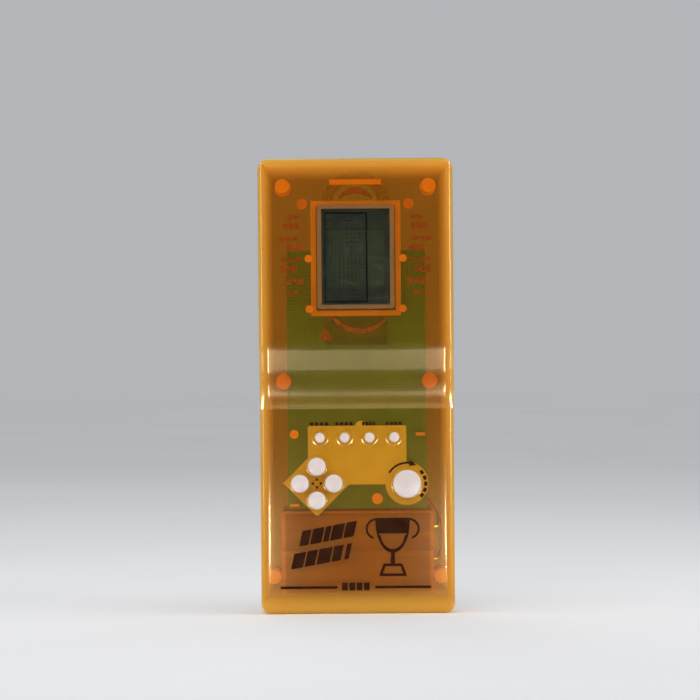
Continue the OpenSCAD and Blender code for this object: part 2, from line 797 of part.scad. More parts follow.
// The raised button that meets the positive end of a cell.
module contact_dimple(side, z) {
    translate([side * (contact_x - contact_t / 2), cell_y, z]) rotate([0, -side * 90, 0])
        cylinder(r1 = dimple_r, r2 = dimple_r * 0.6, h = dimple_h);
}

// The tab that goes out through the bay's wall to a wire.
module contact_tab(z) {
    block([contact_x - contact_t, cell_y - solder_tab[1] / 2, z - solder_tab[2] / 2],
        [contact_x - contact_t + solder_tab[0], cell_y + solder_tab[1] / 2, z + solder_tab[2] / 2]);
}

// A cone-shaped coil spring that presses on the negative end of a cell.
module contact_spring(side, z) {
    steps = spring_turns * spring_steps;
    base_x = contact_x - contact_t - spring_wire_r;
    route = [for (i = [0:steps])
        let (a = 360 * i / spring_steps, r = spring_r[0] + (spring_r[1] - spring_r[0]) * i / steps)
        [side * (base_x - spring_pitch * i / spring_steps), cell_y + r * cos(a), z + side * r * sin(a)]];
    wire(route, spring_wire_r, spring_sides);
}

module bridge_contact() {
    color("silver") {
        contact_plate(-1, cell_z[0] - contact_w / 2, cell_z[1] + contact_w / 2);
        contact_dimple(-1, cell_z[1]);
    }
}

module bridge_spring() {
    color("silver") contact_spring(-1, cell_z[0]);
}

module negative_contact() {
    color("silver") {
        contact_plate(1, cell_z[1] - contact_w / 2, cell_z[1] + contact_w / 2);
        contact_tab(tab_solder_z[1]);
    }
}

module negative_spring() {
    color("silver") contact_spring(1, cell_z[1]);
}

module positive_contact() {
    color("silver") {
        contact_plate(1, cell_z[0] - contact_w / 2, cell_z[0] + contact_w / 2);
        contact_dimple(1, cell_z[0]);
        contact_tab(tab_solder_z[0]);
    }
}

module battery_wire_positive() {
    color("red") board_wire(positive_route);
}

module battery_wire_negative() {
    color([0.1, 0.1, 0.1]) board_wire(negative_route);
}

// ---- The object ----

front_shell();
rear_shell();
battery_door();
battery_door_screw();
case_screws();
screen_window();
lcd_front_film();
lcd_front_glass();
lcd_rear_glass();
lcd_reflector();
lcd_holder();
lcd_ribbon();
main_board();
key_contacts();
chip_cover();
capacitors();
resistors();
buzzer_transistor();
board_screws();
keypad_mat();
buzzer_disc();
buzzer_ceramic();
buzzer_wire_hot();
buzzer_wire_ground();
battery_wire_positive();
battery_wire_negative();
bridge_contact();
bridge_spring();
negative_contact();
negative_spring();
positive_contact();
for (key = KEYS) {
    key_cap(key);
    key_pill(key);
}
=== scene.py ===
"""Looks of the handheld LCD game: clear orange case, white silicone keys, display, board and battery bay.

Shapes are built in millimetres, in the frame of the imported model, and scaled to metres at the end.
X runs across the front to the right, Y from the front to the back, Z up.
"""
import math

import bmesh
import bpy
from mathutils import Matrix, Vector


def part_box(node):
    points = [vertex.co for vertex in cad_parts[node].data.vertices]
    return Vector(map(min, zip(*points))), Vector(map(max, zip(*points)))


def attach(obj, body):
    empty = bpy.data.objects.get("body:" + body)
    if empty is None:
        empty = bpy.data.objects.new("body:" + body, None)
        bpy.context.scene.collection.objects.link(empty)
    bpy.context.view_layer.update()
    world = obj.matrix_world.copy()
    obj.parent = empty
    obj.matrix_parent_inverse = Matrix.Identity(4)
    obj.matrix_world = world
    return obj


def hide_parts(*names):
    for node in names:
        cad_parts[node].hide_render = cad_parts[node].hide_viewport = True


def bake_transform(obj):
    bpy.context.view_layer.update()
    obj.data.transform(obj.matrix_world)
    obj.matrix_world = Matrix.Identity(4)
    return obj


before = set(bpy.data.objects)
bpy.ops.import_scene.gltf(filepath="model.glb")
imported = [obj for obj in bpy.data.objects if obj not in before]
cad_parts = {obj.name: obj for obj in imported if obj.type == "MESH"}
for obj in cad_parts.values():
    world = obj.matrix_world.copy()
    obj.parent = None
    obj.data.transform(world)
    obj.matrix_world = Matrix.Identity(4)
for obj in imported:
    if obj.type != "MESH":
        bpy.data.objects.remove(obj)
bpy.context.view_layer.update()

MM = 0.001


def corners(node):
    """Lowest and highest corner of a CAD node, in millimetres."""
    low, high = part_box(node)
    return low / MM, high / MM


def middle(node):
    """Middle of a CAD node's box, in millimetres."""
    low, high = corners(node)
    return (low + high) / 2


# ---- Sizes of the case ----

FRONT_LOW, FRONT_HIGH = corners("front_shell")
WIDTH = FRONT_HIGH.x - FRONT_LOW.x
HEIGHT = FRONT_HIGH.z
HEAD_FRONT = FRONT_LOW.y
BACK = corners("rear_shell")[1].y
PANEL_FRONT = BACK - 20
SPLIT = BACK - 10.5
WALL = 1.8
HEAD_INNER = HEAD_FRONT + WALL
PANEL_INNER = PANEL_FRONT + WALL
BACK_INNER = BACK - WALL
CORNER_R = 4.5
FRONT_EDGE_R = 4
BACK_EDGE_R = 2
BOTTOM_EDGE = (4, 8)
# The front falls back below the head by a flat bevel and a round chin.
BEVEL_Z = (93, 103)
BEVEL_DROP = 3.5
CHIN_Z = 79
CHIN_DROP = PANEL_FRONT - HEAD_FRONT - BEVEL_DROP
CHIN_R = ((BEVEL_Z[0] - CHIN_Z) ** 2 + CHIN_DROP ** 2) / (2 * CHIN_DROP)
CHIN_STEPS = 14
EDGE_REACH = 1.6
SEAM = 0.25

# ---- Places on the case ----

KEYS = ["on_off", "sound", "start_pause", "reset", "up", "down", "left", "right", "rotate"]
PAD_X = middle("key_up").x
PAD_Z = middle("key_left").z
ROTATE = middle("key_rotate")
HOLE_GAP = 0.3
# Width, height and middle of the view through the window.
VIEW = (26, 36.6, 137.3)
WINDOW = corners("screen_window")
FENCE_T = 2
FENCE_BACK = HEAD_INNER + 4.3
GLASS = corners("lcd_rear_glass")
BOARD = corners("main_board")
BOARD_FRONT = BOARD[0].y
BOARD_BACK = BOARD[1].y
MAT = corners("keypad_mat")
# X, Z and the front end of each screw boss.
CASE_SCREWS = [
    (-28, 164.5, HEAD_INNER), (28, 164.5, HEAD_INNER),
    (-28, 89.6, PANEL_INNER - 2.7), (28, 89.6, PANEL_INNER - 2.7),
    (-32.3, 14.5, PANEL_INNER), (32.3, 14.5, PANEL_INNER),
]
BOARD_POSTS = [(7.6, 44.3, 2.1), (-24.2, 69.3, 1.7)]
PEGS = [(-18.1, 136.7), (18.1, 136.7), (-17.9, 117.4), (17.9, 117.4)]
BOARD_RIBS = [(24.4, 69.1), (-24.2, 42)]
TOP_RIBS = [-17.2, -9.6, 9.6, 17.2]
BOTTOM_RIBS = [-19.4, 0, 19.4]
LEFT_RIBS = [23.5, 43.2, 65.7, 108, 130.5, 151]
RIGHT_RIBS = [23.5, 42.4, 65.3, 107.9, 129.9, 139.8, 150.5]
BAR_RIB = (19.9, 2, 165.9)
DISC = middle("buzzer_disc")

# ---- Battery bay and door ----

BAY_W = 55.6
BAY_Z = (8, 37.8)
BAY_FLOOR = BACK_INNER - 15
BAY_WALL = 1.5
BAY_FLOOR_T = 1.2
TROUGH_R = (BAY_Z[1] - BAY_Z[0]) / 4
RIDGE_Y = BAY_FLOOR + 2.8
CELL_Y = BAY_FLOOR + TROUGH_R
CELL_Z = (BAY_Z[0] + TROUGH_R, BAY_Z[1] - TROUGH_R)
DOOR = corners("battery_door")
DOOR_W = 57.8
DOOR_Z = (7.25, 41)
DOOR_T = 1.5
DOOR_GAP = 0.25
TONGUE_W = 10.4
DOOR_SCREW = middle("battery_door_screw")
CUP_R = 3.5
RIM_Y = BACK - 3.6
RIM_W = 62
RIM_Z = (4.6, 43)
TAB_X = 16
TAB_W = 5


# ---- Outlines ----

def arc(cx, cy, rx, ry, start, end, steps):
    """Points of an arc of an ellipse, from one angle to another, in degrees."""
    angles = [math.radians(start + (end - start) * i / steps) for i in range(steps + 1)]
    return [(cx + rx * math.cos(a), cy + ry * math.sin(a)) for a in angles]


def circle(x, y, r, steps=48):
    """Points of a full circle."""
    return arc(x, y, r, r, 0, 360, steps)[:-1]


def rect(x0, z0, x1, z1):
    """Corners of a rectangle."""
    return [(x0, z0), (x1, z0), (x1, z1), (x0, z1)]


def round_rect(width, low, high, r, steps=8):
    """A rectangle with round corners, centred on the first axis, from low to high on the second."""
    w = width / 2
    return (arc(w - r, low + r, r, r, -90, 0, steps) + arc(w - r, high - r, r, r, 0, 90, steps)
            + arc(r - w, high - r, r, r, 90, 180, steps) + arc(r - w, low + r, r, r, 180, 270, steps))


def case_outline(inset):
    """Outline of the case, seen from the front."""
    return round_rect(WIDTH - 2 * inset, inset, HEIGHT - inset, max(CORNER_R - inset, 1), 12)


def edge_radii(inset):
    """Radii of the case's front and back edges, at an inset."""
    return max(FRONT_EDGE_R - inset, 0.6), max(BACK_EDGE_R - inset, 0.5)


def case_section(front, inset):
    """Section across the case, with round edges at the front and the back."""
    w = WIDTH / 2 - inset
    f = front + inset
    b = BACK - inset
    rf, rb = edge_radii(inset)
    return (arc(w - rf, f + rf, rf, rf, -90, 0, 10) + arc(w - rb, b - rb, rb, rb, 0, 90, 8)
            + arc(rb - w, b - rb, rb, rb, 90, 180, 8) + arc(rf - w, f + rf, rf, rf, 180, 270, 10))


def end_profile(inset):
    """Side view of the case that rounds its two ends. It is roomy at the chin."""
    low = inset
    high = HEIGHT - inset
    f = HEAD_FRONT + inset - 1
    b = BACK - inset
    rf, rb = edge_radii(inset)
    ey, ez = (size - inset for size in BOTTOM_EDGE)
    return (arc(PANEL_FRONT + inset + ey, low + ez, ey, ez, 270, 180, 14) + [(f, low + ez)]
            + [(f, high - rf)] + arc(f + 1 + rf, high - rf, rf, rf, 180, 90, 10)
            + arc(b - rb, high - rb, rb, rb, 90, 0, 8) + arc(b - rb, low + rb, rb, rb, 0, -90, 8))


def case_front(z):
    """Depth of the front face at a height. The bevel's two edges are rounded."""
    if min(abs(z - edge) for edge in BEVEL_Z) >= EDGE_REACH:
        return sharp_front(z)
    near = [z + EDGE_REACH * (k / 4 - 1) for k in range(9)]
    return sum(sharp_front(level) for level in near) / len(near)


def sharp_front(z):
    """Depth of the front face at a height, with sharp edges."""
    chin_top, bevel_top = BEVEL_Z
    if z >= bevel_top:
        return HEAD_FRONT
    if z >= chin_top:
        return HEAD_FRONT + BEVEL_DROP * (bevel_top - z) / (bevel_top - chin_top)
    if z > CHIN_Z:
        return HEAD_FRONT + BEVEL_DROP + CHIN_R - math.sqrt(CHIN_R ** 2 - (chin_top - z) ** 2)
    return PANEL_FRONT


# ---- Solids ----

def loft(rings, closed=False):
    """A solid through rings of points, with flat ends or closed into a loop. A ring may be one point."""
    bm = bmesh.new()
    rows = [[bm.verts.new(p) for p in ring] for ring in rings]
    count = max(len(row) for row in rows)
    for lower, upper in zip(rows, rows[1:] + rows[:1] if closed else rows[1:]):
        for i in range(count):
            j = (i + 1) % count
            ring = [row[k % len(row)] for row, k in ((lower, i), (lower, j), (upper, j), (upper, i))]
            bm.faces.new(list(dict.fromkeys(ring)))
    for row in () if closed else (rows[0][::-1], rows[-1]):
        if len(row) > 1:
            bm.faces.new(row)
    bmesh.ops.recalc_face_normals(bm, faces=bm.faces)
    mesh = bpy.data.meshes.new("solid")
    bm.to_mesh(mesh)
    bm.free()
    made = bpy.data.objects.new("solid", mesh)
    bpy.context.scene.collection.objects.link(made)
    return made


def layered(*levels):
    """A solid through outlines drawn in X and Z. Each level is an outline and its depth."""
    return loft([[(x, y, z) for x, z in points] for points, y in levels])


def prism_y(points, y0, y1):
    """Extrudes an outline drawn in X and Z from y0 to y1."""
    return layered((points, y0), (points, y1))


def prism_x(points, x0, x1):
    """Extrudes an outline drawn in Y and Z from x0 to x1."""
    return loft([[(x, y, z) for y, z in points] for x in (x0, x1)])


def block(low, high):
    """A box from its low corner to its high corner."""
    return prism_y(rect(low[0], low[2], high[0], high[2]), low[1], high[1])


def turned(x, z, profile, steps=48):
    """A solid turned about an axis along Y. The profile is a list of (radius, y), from front to back."""
    return layered(*((circle(x, z, r, steps) if r else [(x, z)], y) for r, y in profile))


def along_x(x, y, z, profile, steps=20):
    """A solid turned about an axis along X. The profile is a list of (radius, distance along X)."""
    return loft([[(x + d, py, pz) for py, pz in circle(y, z, r, steps)] for r, d in profile])


def rod(x, z, r, y0, y1, steps=32):
    """A round bar along Y."""
    return turned(x, z, [(r, y0), (r, y1)], steps)


def tube(points, r, steps=12):
    """A tube along a list of points, with flat ends."""
    route = [Vector(p) for p in points]
    rings = []
    side = Vector((0, 0, 1))
    for i, p in enumerate(route):
        along = (route[min(i + 1, len(route) - 1)] - route[max(i - 1, 0)]).normalized()
        side = side - side.dot(along) * along
        if side.length < 0.1:
            side = along.orthogonal()
        side.normalize()
        other = along.cross(side)
        rings.append([p + u * side + v * other for u, v in circle(0, 0, r, steps)])
    return loft(rings)


def grouped(solids):
    """One object from several solids that do not touch each other."""
    first = solids[0]
    bm = bmesh.new()
    for s in solids:
        bm.from_mesh(s.data)
    bm.to_mesh(first.data)
    bm.free()
    for s in solids[1:]:
        bpy.data.objects.remove(s)
    return first


def stamped(outlines, y0, y1):
    """Flat shapes from outlines drawn in X and Z."""
    return grouped([prism_y(points, y0, y1) for points in outlines])


def paint(solid, material):
    """Gives a solid one material."""
    solid.data.materials.clear()
    solid.data.materials.append(material)
    return solid


def paint_walls(solid, material):
    """Gives another material to the faces of a solid that look sideways, up or down."""
    solid.data.materials.append(material)
    for face in solid.data.polygons:
        if abs(face.normal.y) < 0.5:
            face.material_index = len(solid.data.materials) - 1


def combine(target, tools, operation):
    """Adds, cuts or intersects, and keeps each side's materials."""
    for tool in tools:
        step = target.modifiers.new(operation, "BOOLEAN")
        step.operation = operation
        step.solver = "MANIFOLD"
        step.material_mode = "TRANSFER"
        step.object = tool
        bake(target)
        bpy.data.objects.remove(tool)
    return target


def bake(target):
    """Applies an object's modifiers to its mesh."""
    shown = target.evaluated_get(bpy.context.evaluated_depsgraph_get())
    mesh = bpy.data.meshes.new_from_object(shown)
    target.modifiers.clear()
    target.data = mesh


def add(target, *tools):
    return combine(target, tools, "UNION")


def cut(target, *tools):
    return combine(target, tools, "DIFFERENCE")


def keep(target, *tools):
    return combine(target, tools, "INTERSECT")


def round_edges(made, width, angle, steps=2):
    """Adds a modifier that rounds the edges over an angle."""
    edges = made.modifiers.new("edges", "BEVEL")
    edges.width = width
    edges.segments = steps
    edges.limit_method = "ANGLE"
    edges.angle_limit = math.radians(angle)


def soften(made, width, steps=2):
    """Rounds the edges of a solid under construction."""
    round_edges(made, width, 30, steps)
    bake(made)
    return made


def piece(made, name, material=None, replaced=None, smooth=35, body="case"):
    """Finishes a piece: metres, shading, material, the body it rides on and the node it stands for."""
    made.name = name
    made.data.name = name
    made.data.transform(Matrix.Scale(MM, 4))
    if material:
        paint(made, material)
    shade(made, smooth)
    if replaced:
        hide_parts(replaced)
    if body:
        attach(made, body)
    return made


def shade(made, smooth):
    """Smooth shading that leaves flat faces flat and edges over an angle sharp."""
    for face in made.data.polygons:
        face.use_smooth = True
    made.data.set_sharp_from_angle(angle=math.radians(smooth))
    normals = made.modifiers.new("normals", "WEIGHTED_NORMAL")
    normals.keep_sharp = True
    normals.weight = 80


# ---- Materials ----

def node(tree, kind, inputs=None, **settings):
    """Adds a shader node. An input is a value or another node's output."""
    made = tree.nodes.new("ShaderNode" + kind)
    for name, value in settings.items():
        setattr(made, name, value)
    for key, value in (inputs or {}).items():
        if isinstance(value, bpy.types.NodeSocket):
            tree.links.new(value, made.inputs[key])
        else:
            made.inputs[key].default_value = value
    return made


def shader(tree, kind, inputs):
    """The output of a shader node."""
    return node(tree, kind, inputs).outputs[0]


def sums(tree, operation, a, b=0.0):
    """The result of a math node."""
    return node(tree, "Math", {0: a, 1: b}, operation=operation).outputs[0]


def times(tree, a, b):
    return sums(tree, "MULTIPLY", a, b)


def larger(tree, a, b):
    return sums(tree, "MAXIMUM", a, b)


def blank(name):
    """A new material's node tree with nothing in it, and the position on the object, in metres."""
    material = bpy.data.materials.new(name)
    material.use_nodes = True
    material.node_tree.nodes.clear()
    return material, material.node_tree, node(material.node_tree, "TexCoord").outputs["Object"]


def axes(tree, vector):
    """The X, Y and Z of a vector."""
    return node(tree, "SeparateXYZ", {0: vector}).outputs


def facing(tree):
    """The X, Y and Z of the direction that the face looks in."""
    return axes(tree, node(tree, "TexCoord").outputs["Normal"])


def noise(tree, where, scale, detail=3.0):
    """Noise from 0 to 1."""
    return node(tree, "TexNoise", {"Vector": where, "Scale": scale, "Detail": detail,
                                   "Roughness": 0.55}).outputs["Fac"]


def ramp(tree, value, low, high, start=0.0, end=1.0):
    """Maps a value smoothly from low..high to start..end."""
    return node(tree, "MapRange", {"Value": value, "From Min": low, "From Max": high, "To Min": start,
                                   "To Max": end}, interpolation_type="SMOOTHSTEP").outputs["Result"]


def mixed(tree, share, a, b):
    """A colour between two colours."""
    a, b = (c if isinstance(c, bpy.types.NodeSocket) else (*c, 1) for c in (a, b))
    return node(tree, "Mix", {"Factor": share, 6: a, 7: b}, data_type="RGBA").outputs[2]


def bump(tree, height, distance):
    """A bumped normal. Distance is in metres."""
    return node(tree, "Bump", {"Height": height, "Distance": distance, "Strength": 1.0}).outputs[0]


def surface(tree, material, result):
    """Ends a material."""
    node(tree, "OutputMaterial", {"Surface": result})
    return material


def finish(name, color, worn, roughness, metallic=0.0, patch=150.0, grain=2500.0, depth=0.00002, gloss=0.3):
    """A solid finish: colour in soft patches between two tones, a fine grain, and an uneven gloss."""
    material, tree, where = blank(name)
    patches = ramp(tree, noise(tree, where, patch), 0.35, 0.65)
    fine = noise(tree, where, grain, 2.0)
    rough = ramp(tree, fine, 0.3, 0.7, max(roughness - 0.08, 0.02), roughness + 0.08)
    return surface(tree, material, shader(tree, "BsdfPrincipled", {
        "Base Color": mixed(tree, patches, color, worn), "Roughness": rough, "Metallic": metallic,
        "Normal": bump(tree, fine, depth), "Specular IOR Level": gloss}))


def tracks(tree, where, along, across):
    """1 on the outlines of long bricks laid along one axis of the board."""
    spot = axes(tree, where)
    flat = node(tree, "CombineXYZ", {0: spot[along], 1: spot[across]})
    return node(tree, "TexBrick", {"Vector": flat.outputs[0], "Scale": 1.0, "Mortar Size": 0.00016,
                                   "Mortar Smooth": 0.3, "Brick Width": 0.0093, "Row Height": 0.0012},
                offset=0.37, offset_frequency=2).outputs["Fac"]


def board_mask(name):
    """Green solder mask. Copper tracks show through it as a lighter tone, and the board's back is paler."""
    material, tree, where = blank(name)
    region = sums(tree, "GREATER_THAN", noise(tree, where, 45.0, 0.0), 0.5)
    track = node(tree, "Mix", {0: region, 2: tracks(tree, where, "X", "Z"),
                               3: tracks(tree, where, "Z", "X")}).outputs[0]
    cloud = ramp(tree, noise(tree, where, 120.0), 0.3, 0.7)
    front = mixed(tree, cloud, (0.04, 0.175, 0.065), (0.032, 0.14, 0.055))
    front = mixed(tree, times(tree, track, 0.45), front, (0.1, 0.32, 0.1))
    back = mixed(tree, cloud, (0.2, 0.5, 0.2), (0.17, 0.44, 0.17))
    tone = mixed(tree, sums(tree, "GREATER_THAN", facing(tree)["Y"], 0.5), front, back)
    fine = noise(tree, where, 2500.0, 2.0)
    height = sums(tree, "ADD", times(tree, track, 0.7), times(tree, fine, 0.3))
    return surface(tree, material, shader(tree, "BsdfPrincipled", {
        "Base Color": tone, "Roughness": ramp(tree, fine, 0.3, 0.7, 0.24, 0.36), "Specular IOR Level": 0.2,
        "Normal": bump(tree, height, 0.00003)}))


def edge_thickness_and_painted_glow(tree, where):
    """How thick and how lit the plastic looks from the front: 1 where the walls turn round at the outline,
    more at the foot, 0 inside the outline, and little on the walls themselves. The thicker plastic at the
    outline is real; the extra lightness there and at the foot is painted light, standing in for light
    refracted through the edge walls."""
    spot = axes(tree, where)
    outer = WIDTH / 2
    at_side = ramp(tree, sums(tree, "ABSOLUTE", spot["X"]), (outer - 6.2) * MM, (outer - 0.8) * MM)
    at_top = ramp(tree, spot["Z"], (HEIGHT - 9) * MM, (HEIGHT - 0.5) * MM)
    at_foot = ramp(tree, spot["Z"], 12 * MM, 1 * MM)
    # The foot gets extra weight: painted light that makes the lower band lighter.
    rim = larger(tree, larger(tree, at_side, at_top), times(tree, at_foot, 1.55))
    look = facing(tree)
    sideways = larger(tree, sums(tree, "ABSOLUTE", look["X"]), sums(tree, "ABSOLUTE", look["Z"]))
    return times(tree, rim, ramp(tree, sideways, 0.93, 0.995, 1.0, 0.3))


def painted_chin_sheen(tree, where):
    """Painted sheen at the foot of the chin: 1 there, fading to 0 under the bevel, and 0 on the rest of the
    case.
    """
    spot = axes(tree, where)
    rising = ramp(tree, spot["Z"], (BEVEL_Z[0] - 4) * MM, (CHIN_Z - 1) * MM)
    above = times(tree, rising, sums(tree, "GREATER_THAN", spot["Z"], CHIN_Z * MM))
    return times(tree, above, ramp(tree, spot["Y"], (PANEL_FRONT + 2) * MM, PANEL_FRONT * MM))


def glossed(tree, body, where, grain, depth, color, roughness, ior):
    """A gloss over a clear body, on the faces that light meets from outside."""
    fine = noise(tree, where, grain, 2.0)
    normal = bump(tree, fine, depth)
    rough = ramp(tree, fine, 0.3, 0.7, *roughness)
    gloss = shader(tree, "BsdfGlossy", {"Color": (*color, 1), "Roughness": rough, "Normal": normal})
    outside = sums(tree, "SUBTRACT", 1.0, node(tree, "NewGeometry").outputs["Backfacing"])
    share = times(tree, shader(tree, "Fresnel", {"IOR": ior, "Normal": normal}), outside)
    return shader(tree, "MixShader", {0: share, 1: body, 2: gloss})


def clear_plastic(name, tint, haze_color, edge_and_glow_color, haze, edge_and_glow_haze, glow):
    """Clear coloured plastic: a tint on what is behind it, a haze of its own, and a gloss. Round the edges
    the haze is thicker and lighter: partly real thick plastic, partly painted light for light refracted
    through the walls. On the chin of the case the extra haze is painted sheen. Glow is the share of the haze
    that light passes."""
    material, tree, where = blank(name)
    edge = edge_thickness_and_painted_glow(tree, where)
    amount = sums(tree, "ADD", ramp(tree, noise(tree, where, 60.0, 2.0), 0.3, 0.7, haze * 0.85, haze * 1.15),
                  times(tree, edge, edge_and_glow_haze))
    # Painted sheen: extra haze lightens the foot of the chin.
    amount = sums(tree, "ADD", amount, times(tree, painted_chin_sheen(tree, where), haze * 1.5))
    # The edge hue is lighter: partly painted light for light refracted through the edge walls.
    hue = mixed(tree, edge, haze_color, edge_and_glow_color)
    matt = shader(tree, "BsdfDiffuse", {"Color": hue, "Roughness": 0.5})
    lit_through = shader(tree, "BsdfTranslucent", {"Color": hue})
    milk = shader(tree, "MixShader", {0: glow, 1: matt, 2: lit_through})
    clear = shader(tree, "BsdfTransparent", {"Color": (*tint, 1)})
    body = shader(tree, "MixShader", {0: amount, 1: clear, 2: milk})
    roughness = 0.17
    return surface(tree, material, glossed(tree, body, where, 1800.0, 0.0000015, (1, 0.85, 0.52),
                                           (roughness * 0.8, roughness * 1.3), 1.32))


def clear_sheet(name, tint, roughness=0.05, mark=0.02):
    """Clear uncoloured plastic or glass: a tint on what is behind it, faint wipe marks and a gloss."""
    material, tree, where = blank(name)
    marks = ramp(tree, noise(tree, where, 220.0, 4.0), 0.55, 0.75, 0.0, mark)
    body = shader(tree, "MixShader", {0: marks, 1: shader(tree, "BsdfTransparent", {"Color": (*tint, 1)}),
                                      2: shader(tree, "BsdfDiffuse", {"Color": (0.6, 0.62, 0.62, 1)})})
    return surface(tree, material, glossed(tree, body, where, 2500.0, 0.000002, (1, 1, 1),
                                           (roughness * 0.7, roughness * 1.3), 1.49))


def printed(tree, material, where, share, tint, color, roughness):
    """Ends a material that is clear film with ink on a share of it."""
    ink = shader(tree, "BsdfPrincipled", {"Base Color": (*color, 1), "Roughness": roughness,
                                          "Normal": bump(tree, noise(tree, where, 3000.0), 0.00001)})
    clear = shader(tree, "BsdfTransparent", {"Color": (*tint, 1)})
    return surface(tree, material, shader(tree, "MixShader", {0: share, 1: clear, 2: ink}))


def thin_ink(name, tint, color, cover):
    """Ink that covers only in part, more in some spots than in others."""
    material, tree, where = blank(name)
    share = ramp(tree, noise(tree, where, 500.0, 4.0), 0.3, 0.7, cover * 0.6, cover * 1.4)
    return printed(tree, material, where, share, tint, color, 0.6)


def striped_film(name, tint, color, pitch):
    """Clear film with fine printed conductors across X."""
    material, tree, where = blank(name)
    step = sums(tree, "PINGPONG", axes(tree, where)["X"], pitch / 2)
    share = ramp(tree, step, pitch * 0.2, pitch * 0.3, 0.22, 0.0)
    return printed(tree, material, where, share, tint, color, 0.5)


# Each clear plastic: the tint, the hue of its haze inside and at the edges, the haze in both, and its glow.
# The lighter edge hue and the extra edge haze are partly painted light.
CASE_FRONT = clear_plastic("case_plastic_front", (0.95, 0.82, 0.36), (0.9, 0.46, 0.05), (0.98, 0.61, 0.1),
                           0.06, 0.45, 0.25)
CASE_REAR = clear_plastic("case_plastic_rear", (0.57, 0.41, 0.21), (0.8, 0.36, 0.05), (0.95, 0.55, 0.13),
                          0.16, 0.4, 0.1)
CASE_BAY = clear_plastic("case_plastic_bay", (0.57, 0.41, 0.14), (1.0, 0.42, 0.02), (1.0, 0.45, 0.05),
                         0.3, 0.1, 0.1)
CASE_THICK = clear_plastic("case_plastic_thick", (0.85, 0.55, 0.12), (1.0, 0.35, 0.005), (1.0, 0.45, 0.03),
                           0.86, 0.1, 0.25)
CASE_RIB = clear_plastic("case_plastic_ribs", (0.85, 0.6, 0.2), (1.0, 0.36, 0.02), (1.0, 0.42, 0.06),
                         0.48, 0.1, 0.0)
WINDOW_CLEAR = clear_sheet("window_plastic", (0.96, 0.97, 0.96), mark=0.008)
GLASS_CLEAR = clear_sheet("display_glass", (0.95, 0.97, 0.94), 0.03, 0.0)
FILM = clear_sheet("polarising_film", (0.62, 0.64, 0.52), 0.18, 0.03)
CELL = clear_sheet("display_cells", (0.9, 0.91, 0.9), 0.3, 0.0)
SILICONE = finish("silicone_white", (0.8, 0.68, 0.63), (0.75, 0.63, 0.59), 0.45, grain=1500.0, depth=0.00001,
                  gloss=0.15)
REFLECTOR = finish("display_reflector", (0.54, 0.52, 0.44), (0.49, 0.47, 0.4), 0.4, grain=3500.0)
BOARD_GREEN = board_mask("board_mask")
TAPE = finish("window_tape", (0.36, 0.155, 0.05), (0.3, 0.15, 0.055), 0.6, gloss=0.0)
BLACK = finish("black_plastic", (0.02, 0.02, 0.02), (0.03, 0.03, 0.03), 0.5)
RESIN = finish("black_resin", (0.012, 0.012, 0.013), (0.022, 0.022, 0.024), 0.22, patch=400.0, depth=0.00005)
STEEL = finish("zinc_steel", (0.68, 0.68, 0.7), (0.56, 0.56, 0.58), 0.38, metallic=0.85, patch=900.0)
SOLDER = finish("solder", (0.66, 0.66, 0.68), (0.5, 0.5, 0.52), 0.3, metallic=1.0, patch=1500.0)
BRASS = finish("brass_sheet", (0.5, 0.33, 0.12), (0.42, 0.27, 0.1), 0.3, metallic=1.0)
CERAMIC = finish("silvered_ceramic", (0.36, 0.35, 0.33), (0.28, 0.27, 0.25), 0.4, patch=700.0)
CARBON = finish("carbon_ink", (0.02, 0.02, 0.02), (0.035, 0.035, 0.035), 0.6)
NICKEL = finish("nickel_plate", (0.72, 0.7, 0.66), (0.6, 0.58, 0.54), 0.25, metallic=1.0, patch=700.0)
RED_WIRE = finish("red_insulation", (0.3, 0.012, 0.01), (0.25, 0.01, 0.008), 0.35)
BLACK_WIRE = finish("black_insulation", (0.015, 0.015, 0.015), (0.03, 0.03, 0.03), 0.35)
RIBBON = striped_film("ribbon_film", (0.86, 0.88, 0.74), (0.06, 0.05, 0.03), 0.0006)
SLEEVE = finish("capacitor_sleeve", (0.02, 0.03, 0.12), (0.015, 0.022, 0.09), 0.25)
ALUMINIUM = finish("capacitor_can", (0.75, 0.75, 0.76), (0.66, 0.66, 0.67), 0.3, metallic=1.0, patch=900.0)
BEIGE = finish("resistor_coat", (0.72, 0.55, 0.33), (0.66, 0.5, 0.3), 0.3)
BANDS = [finish(f"resistor_band_{name}", color, tuple(c * 0.8 for c in color), 0.35) for name, color in
         (("brown", (0.12, 0.04, 0.015)), ("black", (0.015, 0.015, 0.015)), ("orange", (0.7, 0.2, 0.02)))]
INK = finish("dark_print", (0.035, 0.012, 0.005), (0.05, 0.018, 0.008), 0.7, grain=4000.0, gloss=0.0)
FRAME_INK = finish("display_print", (0.002, 0.002, 0.002), (0.004, 0.004, 0.003), 0.8, grain=4000.0,
                   gloss=0.0)
RED_INK = thin_ink("red_print", (0.8, 0.55, 0.45), (0.42, 0.035, 0.012), 0.5)


# ---- Case ----

def case_solid(inset):
    """The whole closed case, shrunk by inset on every side."""
    levels = {-1.0, HEIGHT + 1.0}
    levels.update(round(middle(f"key_{key}").z, 2) for key in KEYS)
    levels.update(CHIN_Z + (BEVEL_Z[0] - CHIN_Z) * i / CHIN_STEPS for i in range(CHIN_STEPS + 1))
    levels.update(edge + EDGE_REACH * k / 4 for edge in BEVEL_Z for k in range(-4, 5))
    made = loft([[(x, y, z) for x, y in case_section(case_front(z), inset)] for z in sorted(levels)])
    return keep(made, prism_y(case_outline(inset), HEAD_FRONT - 1, BACK + 1),
                prism_x(end_profile(inset), -WIDTH, WIDTH))


